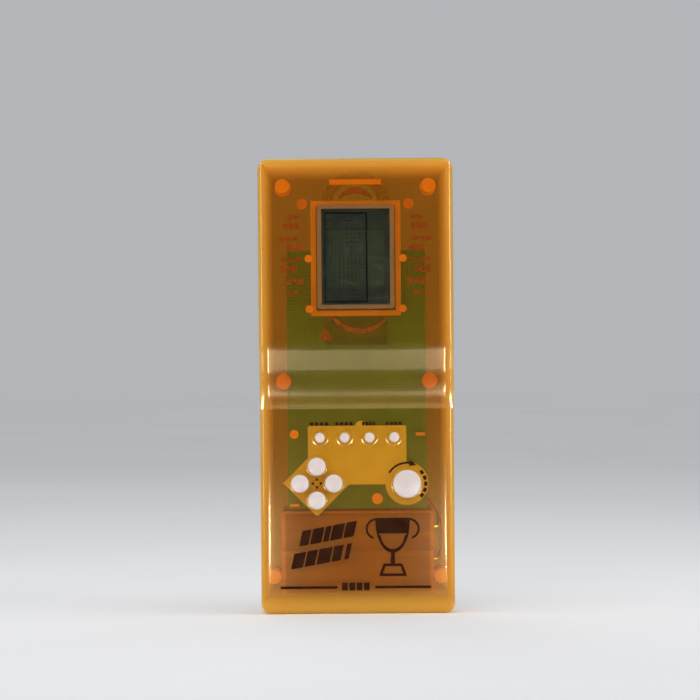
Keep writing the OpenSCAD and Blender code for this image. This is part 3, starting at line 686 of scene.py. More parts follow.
def seam_groove():
    """A ring that cuts a fine groove along the parting line."""
    return cut(prism_y(round_rect(WIDTH + 4, -2, HEIGHT + 2, 5), SPLIT - SEAM / 2, SPLIT + SEAM / 2),
               prism_y(case_outline(SEAM), SPLIT - 1, SPLIT + 1))


def key_radius(key):
    """Radius of a key above its flange, which is 0.5 mm wider."""
    low, high = corners(f"key_{key}")
    return (high.x - low.x) / 2 - 0.5


def key_rod(key, clearance, y0, y1, steps):
    """A rod round a key, to cut a hole for it."""
    at = middle(f"key_{key}")
    return rod(at.x, at.z, key_radius(key) + clearance, y0, y1, steps)


def collar(key):
    """A low raised ring round a key's hole, round on its outside and broader on the small keys."""
    at = middle(f"key_{key}")
    r = key_radius(key) + HOLE_GAP
    flat, round_r, slope = (r + 0.15, 3.0, 40) if r < 3 else (r, 1.15, 42)
    top = PANEL_FRONT - round_r * (1 - math.cos(math.radians(slope)))
    rounded = [(flat + x, top + round_r - y) for x, y in arc(0, 0, round_r, round_r, 90, 90 - slope, 10)]
    return turned(at.x, at.z, [(0, top)] + rounded + [(rounded[-1][0], PANEL_FRONT + 0.5)], 64)


def front_bosses():
    """Screw bosses with flared feet, board posts, pegs, board ribs and the bar of the front shell."""
    boss_r, foot, pilot_r = 2.4, 0.35, 1.1
    solids = [turned(x, z, [(boss_r + foot, y - 0.05), (boss_r + foot * 0.3, y + foot * 0.4),
                            (boss_r, y + foot * 1.2), (boss_r, SPLIT - 0.05)]) for x, z, y in CASE_SCREWS]
    solids += [rod(x, z, r, PANEL_INNER - 0.05, BOARD_FRONT) for x, z, r in BOARD_POSTS]
    peg = [(1.45, HEAD_INNER - 0.05), (1.45, BOARD_FRONT), (0.8, BOARD_FRONT), (0.8, BOARD_BACK + 0.6),
           (0.5, BOARD_BACK + 0.8)]
    solids += [turned(x, z, peg, 32) for x, z in PEGS]
    solids += [block((x - 1.75, PANEL_INNER - 0.05, z - 0.6), (x + 1.75, BOARD_FRONT, z + 0.6))
               for x, z in BOARD_RIBS]
    w, t, z = BAR_RIB
    solids.append(block((-w / 2, HEAD_INNER - 0.05, z - t / 2), (w / 2, -7, z + t / 2)))
    pilots = [rod(x, z, pilot_r, SPLIT - 6.5, SPLIT + 1) for x, z, _y in CASE_SCREWS]
    return cut(grouped(solids), grouped(pilots))


def wall_ribs():
    """Short ribs on the inside of the walls."""
    side = WIDTH / 2 - WALL
    thick, deep, bite = 0.5, 1.5, 0.02
    back = SPLIT - 0.1
    front = HEAD_FRONT + 2.6
    solids = []
    for sign, heights in ((-1, LEFT_RIBS), (1, RIGHT_RIBS)):
        x0, x1 = sorted((sign * (side + bite), sign * (side - deep)))
        for z in heights:
            y0 = PANEL_FRONT + 2.6 if z < CHIN_Z else front
            solids.append(block((x0, y0, z - thick), (x1, back, z + thick)))
    top, bottom = HEIGHT - WALL, WALL
    solids += [block((x - thick, front, top - deep), (x + thick, back, top + bite)) for x in TOP_RIBS]
    solids += [block((x - thick, PANEL_FRONT + 4.4, bottom - bite), (x + thick, back, bottom + deep))
               for x in BOTTOM_RIBS]
    return grouped(solids)


def display_fence():
    """Fence round the display glass, with a post at each corner and a gap for the ribbon."""
    gap, gate = 0.2, 13
    x = GLASS[1].x + gap
    z0 = GLASS[0].z - gap
    z1 = GLASS[1].z + gap
    made = block((-x - FENCE_T, HEAD_INNER - 0.02, z0 - FENCE_T), (x + FENCE_T, FENCE_BACK, z1 + FENCE_T))
    cut(made, block((-x, HEAD_INNER - 1, z0), (x, FENCE_BACK + 1, z1)),
        block((-gate, HEAD_INNER + 0.9, z0 - FENCE_T - 1), (gate, FENCE_BACK + 1, z0 + 1)))
    return add(made, grouped([block((px, FENCE_BACK - 1, pz), (px + FENCE_T, FENCE_BACK + 1.4, pz + FENCE_T))
                              for px in (-x - FENCE_T, x) for pz in (z0 - FENCE_T, z1)]))


def lip():
    """Lip that centres the rear shell on the front shell."""
    inside = WALL + 0.9
    made = cut(prism_y(case_outline(WALL + 0.15), SPLIT - 1.4, SPLIT + 1.2),
               prism_y(case_outline(inside), SPLIT - 3, SPLIT + 3))
    root = cut(prism_y(case_outline(WALL - 0.2), SPLIT - 1.5, SPLIT - 0.1),
               prism_y(case_outline(inside), SPLIT - 3, SPLIT + 3))
    cut(made, grouped([rod(x, z, 3.5, SPLIT, SPLIT + 3) for x, z, _y in CASE_SCREWS]))
    return add(made, root)


def front_shell():
    """Front half of the case: head, chin and panel, with its bosses, ribs and fence."""
    made = cut(case_solid(0), case_solid(WALL))
    keep(made, block((-WIDTH, HEAD_FRONT - 2, -2), (WIDTH, SPLIT - 0.02, HEIGHT + 2)))
    cut(made, seam_groove())
    add(made, lip())
    w, h, z = VIEW
    cut(made, block((-w / 2, HEAD_FRONT - 1, z - h / 2), (w / 2, HEAD_INNER + 1, z + h / 2)))
    low, high = WINDOW
    seat = round_rect(high.x - low.x + 0.2, low.z - 0.1, high.z + 0.1, 1.1)
    cut(made, prism_y(seat, HEAD_FRONT - 1, high.y + 0.15))
    add(made, grouped([collar(key) for key in KEYS]))
    cut(made, grouped([key_rod(key, HOLE_GAP, PANEL_FRONT - 2, PANEL_INNER + 1, 64) for key in KEYS]))
    piece(made, "front_shell_clear", CASE_FRONT, "front_shell", 14)
    piece(front_bosses(), "front_shell_bosses", CASE_THICK, smooth=25)
    piece(wall_ribs(), "front_shell_ribs", CASE_RIB)
    piece(display_fence(), "front_shell_fence", CASE_RIB)


def door_outline(gap):
    """Battery door seen from the back: a plate with a tongue for its screw, as one outline."""
    w = DOOR_W / 2 + gap
    t = TONGUE_W / 2 + gap
    low, high = DOOR_Z[0] - gap, DOOR_Z[1] + gap
    top = DOOR[1].z + gap
    r = 2.2
    return (arc(w - 1, low + 1, 1, 1, -90, 0, 5) + arc(w - 1, high - 1, 1, 1, 0, 90, 5) + [(t, high)]
            + arc(t - r, top - r, r, r, 0, 90, 8) + arc(r - t, top - r, r, r, 90, 180, 8) + [(-t, high)]
            + arc(1 - w, high - 1, 1, 1, 90, 180, 5) + arc(1 - w, low + 1, 1, 1, 180, 270, 5))


def trough_section(r, y_back, z_extra, ridge):
    """Section of the bay: two round troughs that open to the back."""
    z0, z1 = CELL_Z
    reach = TROUGH_R + z_extra
    half = math.degrees(math.acos((CELL_Y - ridge) / r))
    return ([(y_back, z0 - reach), (CELL_Y, z0 - reach)] + arc(CELL_Y, z0, r, r, 270, 180 - half, 24)[1:]
            + arc(CELL_Y, z1, r, r, 180 + half, 90, 24)[:-1] + [(CELL_Y, z1 + reach), (y_back, z1 + reach)])


def bay_walls():
    """Outside of the battery bay: the troughs, their end walls and the beam over them."""
    section = trough_section(TROUGH_R + BAY_FLOOR_T, BACK_INNER + 0.2, BAY_WALL, RIDGE_Y - BAY_FLOOR_T)
    inside = BAY_W / 2
    outside = inside + BAY_WALL
    bay = paint(prism_x(section, -inside, inside), CASE_BAY)
    ends = grouped([prism_x(section, -outside, 0.1 - inside), prism_x(section, inside - 0.1, outside)])
    beam = block((-outside, CELL_Y - 3, BAY_Z[1] - 0.2), (outside, BACK_INNER, BAY_Z[1] + BAY_WALL))
    return add(bay, paint(ends, CASE_RIB), paint(beam, CASE_RIB))


def door_frame():
    """Thick plastic round the battery door and its tongue."""
    inner = BACK_INNER + 0.2
    half = TONGUE_W / 2 + 2.4
    return [paint(part, CASE_REAR) for part in (
        block((-RIM_W / 2, RIM_Y, RIM_Z[0]), (RIM_W / 2, inner, RIM_Z[1])),
        block((-half, RIM_Y, RIM_Z[1] - 2), (half, inner, DOOR[1].z + 2.2)))]


def rear_posts():
    """Screw bosses, posts of the sound disc and the board, and the boss of the door's screw."""
    inner = BACK_INNER + 0.2
    posts = [rod(x, z, 3.2, SPLIT, inner) for x, z, _y in CASE_SCREWS]
    posts += [rod(x, DISC.z + 0.3, 2, SPLIT, inner) for x in (-20.6, 20.6)]
    posts += [rod(x, z, 1.6, BOARD_BACK + 0.1, inner) for x in (-22, 22) for z in (60, 125)]
    return [paint(part, CASE_THICK) for part in
            (grouped(posts), rod(0, DOOR_SCREW.z, 3.25, BACK - 9, RIM_Y + 0.5))]


def tab_pocket(x):
    """Cutter for the pocket that holds one of the door's tabs."""
    w = TAB_W / 2 + 0.4
    top = BAY_Z[0] + 1
    return add(block((x - w, RIM_Y, 5), (x + w, BACK_INNER, top)),
               block((x - w, BACK_INNER - 1, DOOR_Z[0] - 0.3), (x + w, BACK - DOOR_T, top)))


def rear_shell():
    """Rear half of the case, with the battery bay."""
    made = keep(case_solid(0), block((-WIDTH, SPLIT + 0.02, -2), (WIDTH, BACK + 2, HEIGHT + 2)))
    cut(made, keep(case_solid(WALL), block((-WIDTH, SPLIT - 2, -2), (WIDTH, BACK_INNER, HEIGHT + 2))))
    cut(made, seam_groove())
    paint_walls(paint(made, CASE_REAR), CASE_FRONT)
    add(made, bay_walls(), *door_frame(), *rear_posts())
    disc_r = 12.5
    seat = cut(rod(0, DISC.z, disc_r + 2, BACK_INNER - 1.2, BACK_INNER + 0.2, 64),
               rod(0, DISC.z, disc_r, BACK_INNER - 3, BACK_INNER, 64))
    add(made, paint(seat, CASE_REAR))
    cut(made, prism_x(trough_section(TROUGH_R, BACK + 1, 0, RIDGE_Y), -BAY_W / 2, BAY_W / 2),
        prism_y(door_outline(DOOR_GAP), BACK - DOOR_T - 0.1, BACK + 1),
        rod(0, DOOR_SCREW.z, CUP_R + 0.4, BACK - 3.1, BACK + 1), rod(0, DOOR_SCREW.z, 1.45, BACK - 8, BACK),
        grouped([tab_pocket(x) for x in (-TAB_X, TAB_X)]))
    sunk = [(1.3, SPLIT - 1), (1.3, SPLIT + 2.1), (2.5, SPLIT + 2.1), (2.5, BACK - 0.3), (3.8, BACK + 1)]
    cut(made, grouped([turned(x, z, sunk) for x, z, _y in CASE_SCREWS]))
    sound_holes = [(0, DISC.z)] + circle(0, DISC.z, 4.4, 6)
    cut(made, grouped([rod(x, z, 0.8, BACK_INNER - 1, BACK + 1) for x, z in sound_holes]))
    piece(made, "rear_shell_clear", replaced="rear_shell", smooth=20)


# ---- Keys ----

def keys():
    """Domed silicone keys on their flanges, and the thin skirts that hold them on the sheet."""
    for key in KEYS:
        low, high = corners(f"key_{key}")
        at = middle(f"key_{key}")
        r = key_radius(key)
        made = turned(at.x, at.z, key_profile(r, low.y, high.y), 64)
        piece(made, f"key_{key}_silicone", SILICONE, f"key_{key}", body=f"key_{key}")
        skirt(key, at, r, high.y)


def key_profile(r, front, back):
    """Half section of a key: a dome, a round shoulder and a flange."""
    edge = 0.4
    crown = r * 0.1
    lean = 12
    flat = r - edge
    dome_r = (flat ** 2 + crown ** 2) / (2 * crown)
    span = math.degrees(math.asin(flat / dome_r))
    dome = [(x, front + dome_r - y) for x, y in arc(0, 0, dome_r, dome_r, 90, 90 - span, 6)[1:]]
    shoulder = [(x, front + crown + edge - y) for x, y in arc(flat, 0, edge, edge, 90 - span - lean, 0, 5)]
    flange = back - 1
    return ([(0, front)] + dome + shoulder
            + [(r, flange), (r + 0.35, flange), (r + 0.5, flange + 0.15), (r + 0.5, back)])


def skirt(key, at, r, flange_back):
    """A thin cone between a key's flange and the sheet."""
    sheet = MAT[0].y
    t = 0.22
    inner = r + 0.35
    outer = r + 1.15
    profile = [(inner, flange_back - 0.35), (inner + 0.2, flange_back - 0.2), (outer - 0.3, sheet - 0.3),
               (outer, sheet - 0.02), (outer, sheet + 0.02), (outer - 0.3, sheet - 0.3 + t),
               (inner + 0.2, flange_back - 0.2 + t), (inner, flange_back - 0.35 + t)]
    rings = [[(at.x + rad * u, y, at.z + rad * v) for rad, y in profile] for u, v in circle(0, 0, 1)]
    made = loft(rings, closed=True)
    piece(made, f"key_{key}_skirt", SILICONE, smooth=60, body=None)
    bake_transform(made)


def mat():
    """The sheet of silicone that carries the keys: a rectangle, a diamond, a disc and a small ear."""
    low, high = MAT
    reach = 13
    small = middle("key_sound").z
    diamond = [(PAD_X, PAD_Z - reach), (PAD_X + reach, PAD_Z), (PAD_X, PAD_Z + reach), (PAD_X - reach, PAD_Z)]
    made = prism_y(round_rect(38, PAD_Z - 0.7, small + 4.4, 0.8), low.y, high.y)
    add(made, keep(prism_y(diamond, low.y, high.y), block((-WIDTH, low.y - 1, low.z), (WIDTH, 1, HEIGHT))),
        rod(ROTATE.x, ROTATE.z, 8.3, low.y, high.y, 64), rod(1.3, small + 4.2, 2.0, low.y, high.y))
    cut(made, grouped([key_rod(key, 0.8, low.y - 1, high.y + 1, 48) for key in KEYS]))
    cut(made, grouped([rod(x, z, r + 0.2, low.y - 1, high.y + 1) for x, z, r in BOARD_POSTS]))
    piece(made, "keypad_sheet", SILICONE, "keypad_mat")


# ---- Display ----

def display():
    """Window, its tape, the film with the printed frame, the cells between the glasses, and the ribbon."""
    low, high = WINDOW
    width = high.x - low.x
    window = soften(prism_y(round_rect(width, low.z, high.z, 1), low.y, high.y), 0.12)
    piece(window, "screen_window_clear", WINDOW_CLEAR, "screen_window")
    w, h, z = VIEW
    w, h = w + 0.2, h + 0.2
    tape = cut(prism_y(round_rect(width - 0.2, low.z + 0.1, high.z - 0.1, 1), high.y + 0.03, high.y + 0.11),
               block((-w / 2, 2 * HEAD_FRONT, z - h / 2), (w / 2, 0, z + h / 2)))
    piece(tape, "window_tape", TAPE)

    film_y = corners("lcd_front_film")[0].y
    left, right, bottom, top = -11.6, 4.5, z - 17.5, z + 17
    line = 0.6
    inner = right - line
    lines = stamped([rect(left, top - line, inner, top), rect(left, bottom, inner, bottom + line),
                     rect(inner, bottom, right, top), rect(left - line * 0.6, bottom, left, top)],
                    film_y - 0.035, film_y - 0.008)
    piece(lines, "display_frame_print", FRAME_INK)

    cell_y = corners("lcd_front_glass")[1].y
    columns, rows = 10, 20
    step_x = (inner - left) / columns
    step_z = (top - bottom - 2 * line) / rows
    gap = 0.14
    cells = []
    for i in range(columns):
        for j in range(rows):
            x = left + i * step_x
            z = bottom + line + j * step_z
            cells.append(rect(x + gap, z + gap, x + step_x - gap, z + step_z - gap))
    piece(stamped(cells, cell_y - 0.06, cell_y - 0.02), "display_cells", CELL)
    ribbon()


def ribbon():
    """Film that carries the display's lines down to the board, in one smooth bend."""
    low, high = corners("lcd_ribbon")
    t = 0.12
    steps = 24
    top = (low.y + t, high.z)
    foot = BOARD_FRONT - t - 0.02
    handles = [(top[0], GLASS[0].z - 0.6), (top[0], 110.5), (foot, 112.5), (foot, 107)]
    path = [top]
    for u in (i / steps for i in range(steps + 1)):
        shares = ((1 - u) ** 3, 3 * u * (1 - u) ** 2, 3 * u * u * (1 - u), u ** 3)
        path.append(tuple(sum(s * p[k] for s, p in zip(shares, handles)) for k in (0, 1)))
    path.append((foot, low.z))
    outline = path + [(y + t, z) for y, z in reversed(path)]
    piece(prism_x(outline, low.x, high.x), "display_ribbon", RIBBON, "lcd_ribbon", 30)


# ---- Prints: plain shapes that stand where a game of this kind has its lettering ----

def ring_part(cx, cz, r, width, start, end, rz=None, taper=0.0):
    """Outline of a part of a ring. With taper it thins towards its ends."""
    rz = rz or r
    steps = 16
    outer, inner = [], []
    for u in (i / steps for i in range(steps + 1)):
        a = math.radians(start + (end - start) * u)
        half = width / 2 * (1 - taper * (2 * u - 1) ** 2)
        outer.append((cx + (r + half) * math.cos(a), cz + (rz + half) * math.sin(a)))
        inner.append((cx + (r - half) * math.cos(a), cz + (rz - half) * math.sin(a)))
    return outer + inner[::-1]


def block_row(x, z, width, height, count, share):
    """Outlines of equal blocks in a row. Each fills a share of its step."""
    step = width / count
    return [rect(x + i * step, z, x + (i + share) * step, z + height) for i in range(count)]


def slanted_row(x, z, widths):
    """Outlines of bricks that lean to the right, in a row that climbs."""
    height, gap, lean, rise = 6.0, 0.55, 1.32, 0.18
    bricks = []
    for w in widths:
        end = z + rise * w
        bricks.append([(x, z), (x + w, end), (x + w + lean, end + height), (x + lean, z + height)])
        x += w + gap
        z += rise * (w + gap)
    return bricks


def panel_print():
    """Dark shapes on the lower panel."""
    y0, y1 = PANEL_FRONT - 0.04, PANEL_FRONT + 0.01
    marks = []
    for key, width in (("on_off", 7.6), ("sound", 7.2), ("start_pause", 5.6), ("reset", 6.6)):
        at = middle(f"key_{key}")
        marks += block_row(at.x - width / 2, at.z + 4.6, width, 1.3, 4, 0.72)
    for a in (math.radians(90 * turn) for turn in range(4)):
        marks.append([(PAD_X + u * math.cos(a) - v * math.sin(a), PAD_Z + u * math.sin(a) + v * math.cos(a))
                      for u, v in ((2.3, 0), (1.1, 0.75), (1.1, -0.75))])
    x, z = ROTATE.x, ROTATE.z
    marks.append(ring_part(x, z, 8.1, 0.75, 148, 82))
    marks.append([(x + 1.25, z + 9.1), (x + 3.7, z + 7.2), (x + 0.7, z + 6.8)])
    marks += [ring_part(x, z, 7.2, 1.3, a - 6.5, a + 6.5) for a in range(38, -57, -19)]
    marks += [rect(x, 9.9, x + width, 10.9) for x, width in ((-29.8, 21.8), (6.6, 21.4))]
    marks += block_row(-6.2, 9.2, 11.2, 3.0, 4, 11 / 14)
    for x, z, widths in ((-22.6, 26.2, (3.6, 4.4, 2.2, 4.6, 4.0)), (-25.8, 17.4, (4.6, 4.0, 5.2, 3.6)),
                         (-5.4, 21.078, (1.8,))):
        marks += slanted_row(x, z, widths)
    piece(add(stamped(marks, y0, y1), cup_emblem(y0, y1)), "panel_print", INK)


def cup_emblem(y0, y1):
    """A plain winner's cup as a line drawing with a filled bowl."""
    cx, top = 13.4, 37

    def tapered(low, low_half, high, high_half):
        """Outline with straight sides. Its heights are measured down from the rim."""
        return [(cx - low_half, top - low), (cx + low_half, top - low), (cx + high_half, top - high),
                (cx - high_half, top - high)]

    made = prism_y([(cx - 7, top), (cx + 7, top)] + arc(cx, top - 1.5, 6.6, 12, 0, -180, 24), y0, y1)
    hollow = [(cx - 5.6, top - 6), (cx + 5.6, top - 6)] + arc(cx, top - 6, 4.6, 6, -10, -170, 16)
    cut(made, prism_y(hollow, y0 - 1, y1 + 1))
    for side, start, end in ((-1, 80, 255), (1, -75, 100)):
        add(made, prism_y(ring_part(cx + side * 6.4, top - 4.2, 3.6, 0.8, start, end), y0, y1))
    add(made, prism_y(tapered(18, 0.9, 12.5, 0.7), y0, y1), prism_y(tapered(22.4, 5.4, 17.6, 3.6), y0, y1))
    return cut(made, prism_y(tapered(21.4, 3.9, 18.6, 2.9), y0 - 1, y1 + 1))


def head_print():
    """Red strokes and blocks round the display, on the inside of the head."""
    z = VIEW[2]
    marks = [ring_part(0, z, 13.5, 2.6, 62, 118, rz=25.4, taper=0.6),
             ring_part(1.5, z + 8, 20, 1.8, 232, 300, rz=36.5, taper=0.5),
             [(-14.5, z - 31.5), (-9, z - 32.2), (-11.8, z - 26.6)]]
    rows = ((14.5, 5, 1.6), (10.5, 6.5, 2.6), (6.2, 7.5, 1.6), (2.4, 6, 2.2), (-1.8, 8, 1.6), (-6, 6.5, 2.8),
            (-10.4, 7.4, 2.2), (-14.6, 5, 1.6))
    for side in (-1, 1):
        for i, (level, width, height) in enumerate(rows):
            x = side * (23.4 + 1.1 * (i % 3)) - width / 2
            marks += block_row(x, z + level, width, height, 3, 5 / 6)
    piece(stamped(marks, HEAD_INNER, HEAD_INNER + 0.04), "head_print", RED_INK)


# ---- Circuit board ----

def board():
    """The board, with holes for the pegs, the screws and the bosses."""
    low, high = BOARD
    y0, y1 = low.y - 1, high.y + 1
    made = prism_y(round_rect(high.x - low.x, low.z, high.z, 0.8), low.y, high.y)
    cut(made, grouped([rod(x, z, 2.9, y0, y1) for x, z, _y in CASE_SCREWS[2:4]]))
    cut(made, grouped([rod(x, z, 0.95, y0, y1) for x, z in PEGS]
                      + [rod(x, z, 0.85, y0, y1) for x, z, _r in BOARD_POSTS]))
    piece(soften(made, 0.1, 1), "circuit_board", BOARD_GREEN, "main_board")


def chip_resin():
    """A drop of resin over the chip, with an uneven round outline."""
    chip = middle("chip_cover")
    low, high = corners("chip_cover")
    steps, levels = 40, 8
    rings = []
    for i in range(levels):
        a = math.radians(90 * i / levels)
        y = low.y + (high.y - low.y) * math.sin(a) ** 0.9
        r = (high.x - low.x) / 2 * math.cos(a)
        ring = []
        for b in (2 * math.pi * k / steps for k in range(steps)):
            wave = 1 - 0.025 * (1 + math.sin(2 * b + 0.6)) - 0.015 * (1 + math.sin(5 * b + 1.7))
            ring.append((chip.x + r * wave * math.cos(b), y, chip.z + r * wave * math.sin(b)))
        rings.append(ring)
    rings.append([(chip.x, high.y, chip.z)])
    piece(loft(rings), "chip_resin", RESIN, "chip_cover", 60)


def capacitors():
    """Two cans in sleeves, with a groove round each near the board."""
    low, high = corners("capacitors")
    r = (high.z - low.z) / 2
    y, top = BOARD_BACK, high.y
    sleeve = [(r - 0.35, y), (r, y + 0.4), (r, y + 0.9), (r - 0.25, y + 1.2), (r, y + 1.5), (r, top - 0.35),
              (r - 0.4, top - 0.05), (r - 0.7, top - 0.12)]
    lid = [(r - 0.68, y + 5), (r - 0.72, top - 0.2)]
    for i, x in enumerate((low.x + r, high.x - r)):
        piece(turned(x, low.z + r, sleeve, 40), f"capacitor_{2 * i}", SLEEVE,
              None if i else "capacitors", 40)
        piece(turned(x, low.z + r, lid, 40), f"capacitor_top_{2 * i + 1}", ALUMINIUM)


def resistors():
    """Six resistors that lie along X: a waisted body with colour bands, and bent legs."""
    low, high = corners("resistors")
    lead, half, body, pitch = 0.25, 4.2, 1.7, 4
    board_y, y = BOARD_BACK, BOARD_BACK + 1.2
    end = half - lead
    bend = [(end, board_y), (end, y - 0.5), (end - 0.15, y - 0.15), (end - 0.5, y)]
    leg = [(-d, level) for d, level in bend] + bend[::-1]
    waist = [(0.35, body), (0.7, body - 0.12), (0.85, body - 0.45), (0.8, 0.75), (0.66, 0.4)]
    core = [(r, -d) for r, d in waist] + waist[::-1]
    spots = [(x, low.z + 0.85 + pitch * row) for x in (low.x + half, high.x - half) for row in range(3)]
    legs = [tube([(x + d, level, z) for d, level in leg], lead * 0.9, 10) for x, z in spots]
    piece(grouped(legs), "resistor_legs", SOLDER, smooth=60)
    cores = [along_x(x, y, z, core) for x, z in spots]
    piece(grouped(cores), "resistor_bodies", BEIGE, "resistors", 50)
    for i, (material, shift) in enumerate(zip(BANDS, (-0.55, 0.0, 0.5))):
        band = [(0.5, shift - 0.13), (0.74, shift - 0.12), (0.74, shift + 0.12), (0.5, shift + 0.13)]
        bands = grouped([along_x(x, y, z, band) for x, z in spots])
        piece(bands, f"resistor_bands_{i}", material)


def wire_solder():
    """Cones of solder where the wires meet the back of the board."""
    r, height, y = 1.2, 0.9, BOARD_BACK
    cone = [(r, y), (r * 0.82, y + height * 0.12), (r * 0.5, y + height * 0.4), (r * 0.34, y + height * 0.8),
            (r * 0.2, y + height), (0, y + height * 1.05)]
    joints = [turned(x, z, cone, 20) for x, z in ((3, 136.5), (-3, 136.5), (22.8, 44.5), (18.4, 48.2))]
    piece(grouped(joints), "wire_solder", SOLDER, smooth=60)


# ---- Fasteners ----

def screw(x, z, r, tip_y, seat_y, head_r, head_top):
    """A screw with a ribbed shank for its thread, and a cross in its head, which looks to the back."""
    pitch = 0.62
    profile = [(0, tip_y), (r * 0.55, tip_y + 0.15)]
    y = tip_y + 0.3
    while y < seat_y - pitch:
        profile += [(r * 0.78, y), (r, y + pitch * 0.45), (r, y + pitch * 0.55)]
        y += pitch
    rim = seat_y + 0.15
    profile += [(r * 0.8, seat_y - 0.05), (head_r - 0.12, seat_y), (head_r, rim)]
    profile += [(head_r * math.cos(a), rim + (head_top - rim) * math.sin(a))
                for a in map(math.radians, (20, 40, 55, 70))] + [(head_r * 0.12, head_top)]
    made = turned(x, z, profile, 32)
    arm, half = head_r * 0.62, 0.3
    for w, h in ((arm, half), (half, arm)):
        cut(made, layered(*((rect(x - w * k, z - h * k, x + w * k, z + h * k), y)
                            for y, k in ((head_top - 0.75, 0.45), (head_top + 0.3, 1.1)))))
    return made


def fasteners():
    """Six case screws, two board screws and the battery door's screw."""
    low, high = corners("case_screws")
    screws = [screw(x, z, 1.0, low.y, SPLIT + 2.1, 2.2, high.y) for x, z, _y in CASE_SCREWS]
    piece(grouped(screws), "case_screw_set", STEEL, "case_screws", 32)
    low, high = corners("board_screws")
    screws = [screw(x, z, 0.7, low.y, BOARD_BACK, 1.4, high.y) for x, z, _r in BOARD_POSTS]
    piece(grouped(screws), "board_screw_set", STEEL, "board_screws", 32)
    low, high = corners("battery_door_screw")
    piece(screw(DOOR_SCREW.x, DOOR_SCREW.z, 0.9, low.y, BACK - 1.55, (high.x - low.x) / 2, high.y),
          "door_screw_cross", STEEL, "battery_door_screw", 32, "battery_door_screw")


# ---- Battery door ----

def door_tab(x):
    """A tab on the door's lower edge, with the tongue that holds it in its pocket."""
    w = TAB_W / 2
    front = BACK - 2.9
    low, high = DOOR_Z[0] + 0.2, DOOR_Z[0] + 1.4
    return add(block((x - w, front, low), (x + w, BACK - DOOR_T + 0.1, high)),
               block((x - w, front, DOOR[0].z), (x + w, BACK - 2, high)))


def battery_door():
    """The door: a plate with a screw cup, two tabs, grip grooves and an arrow."""
    made = paint(soften(prism_y(door_outline(0), BACK - DOOR_T, BACK), 0.25), CASE_REAR)
    add(made, paint(rod(0, DOOR_SCREW.z, CUP_R, BACK - 2.9, BACK - 0.4, 48), CASE_REAR))
    add(made, paint(grouped([door_tab(x) for x in (-TAB_X, TAB_X)]), CASE_REAR))
    sunk = [(1.3, BACK - 4), (1.3, BACK - 1.6), (2.6, BACK - 1.6), (2.6, BACK - 0.3), (3.2, BACK + 0.3)]
    cut(made, turned(0, DOOR_SCREW.z, sunk))
    grip = 7.5
    grooves = [layered((rect(-grip, z - 0.25, grip, z + 0.25), BACK - 0.45),
                       (rect(-grip, z - 0.65, grip, z + 0.65), BACK + 0.1))
               for z in (31 + 1.7 * i for i in range(5))]
    arrow = [(-3.4, 27.6), (3.4, 27.6), (0, 22.6)]
    cut(made, paint(grouped(grooves), CASE_RIB), paint(prism_y(arrow, BACK - 0.4, BACK + 1), CASE_RIB))
    piece(made, "battery_door_plate", replaced="battery_door", smooth=30, body="battery_door")


# ---- CAD pieces that keep their shape ----

def kept(name, material, edge=0.0, round_off=False):
    """Gives a CAD piece its material, and soft edges or a rounder surface."""
    held = paint(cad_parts[name], material)
    if "custom_normal" in held.data.attributes:
        held.data.attributes.remove(held.data.attributes["custom_normal"])
    for face in held.data.polygons:
        face.use_smooth = True
    weld = held.modifiers.new("weld", "WELD")
    weld.merge_threshold = 0.000001
    if round_off:
        finer = held.modifiers.new("finer", "SUBSURF")
        finer.levels = finer.render_levels = 1
        return
    angle = 35
    if edge:
        round_edges(held, edge * MM, angle)
    held.data.set_sharp_from_angle(angle=math.radians(angle))
    normals = held.modifiers.new("normals", "WEIGHTED_NORMAL")
    normals.keep_sharp = True


def kept_pieces():
    """Sheets, contacts, wires and springs whose CAD shape is right."""
    for name, material, edge in (
            ("lcd_front_film", FILM, 0.03), ("lcd_front_glass", GLASS_CLEAR, 0.03),
            ("lcd_rear_glass", GLASS_CLEAR, 0.03), ("lcd_reflector", REFLECTOR, 0.03),
            ("lcd_holder", BLACK, 0.15), ("key_contacts", CARBON, 0), ("buzzer_transistor", RESIN, 0.12),
            ("buzzer_disc", BRASS, 0.05), ("buzzer_ceramic", CERAMIC, 0.05), ("bridge_contact", NICKEL, 0.08),
            ("negative_contact", NICKEL, 0.08), ("positive_contact", NICKEL, 0.08)):
        kept(name, material, edge)
    for name, material in (("buzzer_wire_hot", RED_WIRE), ("buzzer_wire_ground", BLACK_WIRE),
                           ("battery_wire_positive", RED_WIRE), ("battery_wire_negative", BLACK_WIRE),
                           ("bridge_spring", NICKEL), ("negative_spring", NICKEL)):
        kept(name, material, round_off=True)
    for key in KEYS:
        kept(f"pill_{key}", CARBON, 0.08)


front_shell()
rear_shell()
keys()
mat()
display()
panel_print()
head_print()
board()
chip_resin()
capacitors()
resistors()
wire_solder()
fasteners()
battery_door()
kept_pieces()


# ---- Studio ----

def area_light(name, at, towards, size, power, mirrored_only=False, spread=180):
    """A soft rectangular light. Places and sizes are in metres, the spread of its beam in degrees."""
    lamp = bpy.data.lights.new(name, "AREA")
    lamp.shape = "RECTANGLE"
    lamp.size, lamp.size_y = size
    lamp.energy = power
    lamp.spread = math.radians(spread)
    made = bpy.data.objects.new(name, lamp)
    made.location = at
    made.rotation_euler = (Vector(towards) - Vector(at)).to_track_quat("-Z", "Y").to_euler()
    made.visible_camera = False
    made.visible_diffuse = not mirrored_only
    made.visible_transmission = not mirrored_only
    bpy.context.scene.collection.objects.link(made)


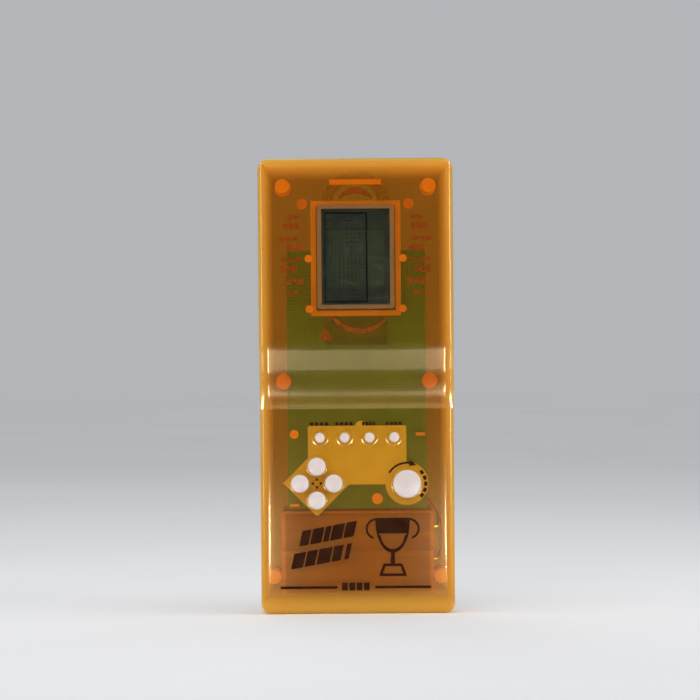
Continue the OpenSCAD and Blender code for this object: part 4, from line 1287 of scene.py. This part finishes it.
def surroundings():
    """Pale even light from all sides. It looks a little darker to the camera, and darker still in mirrors."""
    world = bpy.data.worlds.new("surroundings")
    bpy.context.scene.world = world
    world.use_nodes = True
    tree = world.node_tree
    tree.nodes.clear()
    rays = node(tree, "LightPath").outputs
    sky, light = (0.86, 0.88, 0.92, 1), 0.6
    lit, seen, mirrored = (shader(tree, "Background", {"Color": sky, "Strength": light * share})
                           for share in (1.0, 0.88, 0.25))
    shown = shader(tree, "MixShader", {0: rays["Is Camera Ray"], 1: lit, 2: seen})
    shown = shader(tree, "MixShader", {0: rays["Is Glossy Ray"], 1: shown, 2: mirrored})
    node(tree, "OutputWorld", {"Surface": shown})


def studio():
    """Pale floor, pale surroundings, soft lights, and small ones that are only mirrored in glossy edges."""
    floor = loft([[(x, y, z) for x, y in circle(0, 0, 6, 64)] for z in (-0.02, 0.0)])
    floor.name = "floor"
    paint(floor, finish("pale_floor", (0.88, 0.88, 0.88), (0.86, 0.86, 0.86), 0.8, patch=3.0, grain=400.0,
                        gloss=0.0))
    surroundings()
    area_light("front_box", (-0.5, -1.6, 1.1), (0, 0, 0.1), (1.0, 1.0), 0.65, spread=60)
    area_light("back_box", (-0.5, 1.6, 0.9), (0, 0, 0.1), (1.0, 1.0), 0.6, spread=60)
    area_light("left_box", (-0.75, -0.25, 0.35), (0, 0, 0.09), (0.7, 0.7), 0.3, spread=90)
    area_light("right_box", (0.75, -0.25, 0.35), (0, 0, 0.09), (0.7, 0.7), 0.62, spread=90)
    area_light("top_box", (0, -0.2, 0.8), (0, 0, 0.1), (0.9, 0.5), 1.6)
    area_light("bevel_box", (0, -0.126, 0.01), (0, -0.012, 0.1), (0.5, 0.016), 0.023, True, 60)
    area_light("chin_box", (0, -0.058, 0.012), (0, -0.007, 0.08), (0.5, 0.014), 0.012, True, 60)
    for side in (-1, 1):
        area_light("spark", (side * 0.17, 0.03, 0.03), (side * 0.37, 0.085, 0.986), (0.1, 0.14), 4.5, True)
        area_light("glint", (side * 0.063, -0.13, 0.02), (0, -0.007, 0.066), (0.035, 0.035), 0.34, True)
        area_light("edge_strip", (side * 0.8, -0.05, 0.12), (0, -0.01, 0.09), (0.1, 0.6), 5.5 + 1.5 * side,
                   True)


def camera():
    """The photograph's viewing angle: straight on to the front, from a long way off, with a slight roll."""
    distance = 1.2
    seen_width = 0.26747
    data = bpy.data.cameras.new("camera")
    data.sensor_width = 36
    data.lens = data.sensor_width * distance / seen_width
    made = bpy.data.objects.new("camera", data)
    made.location = (-2.45 * MM, HEAD_FRONT * MM - distance, 101.6 * MM)
    made.rotation_euler = (math.radians(90), math.radians(0.46), 0)
    bpy.context.scene.collection.objects.link(made)
    bpy.context.scene.camera = made


studio()
camera()
bpy.context.scene.view_settings.view_transform = "Standard"
bpy.context.scene.cycles.transparent_max_bounces = 32
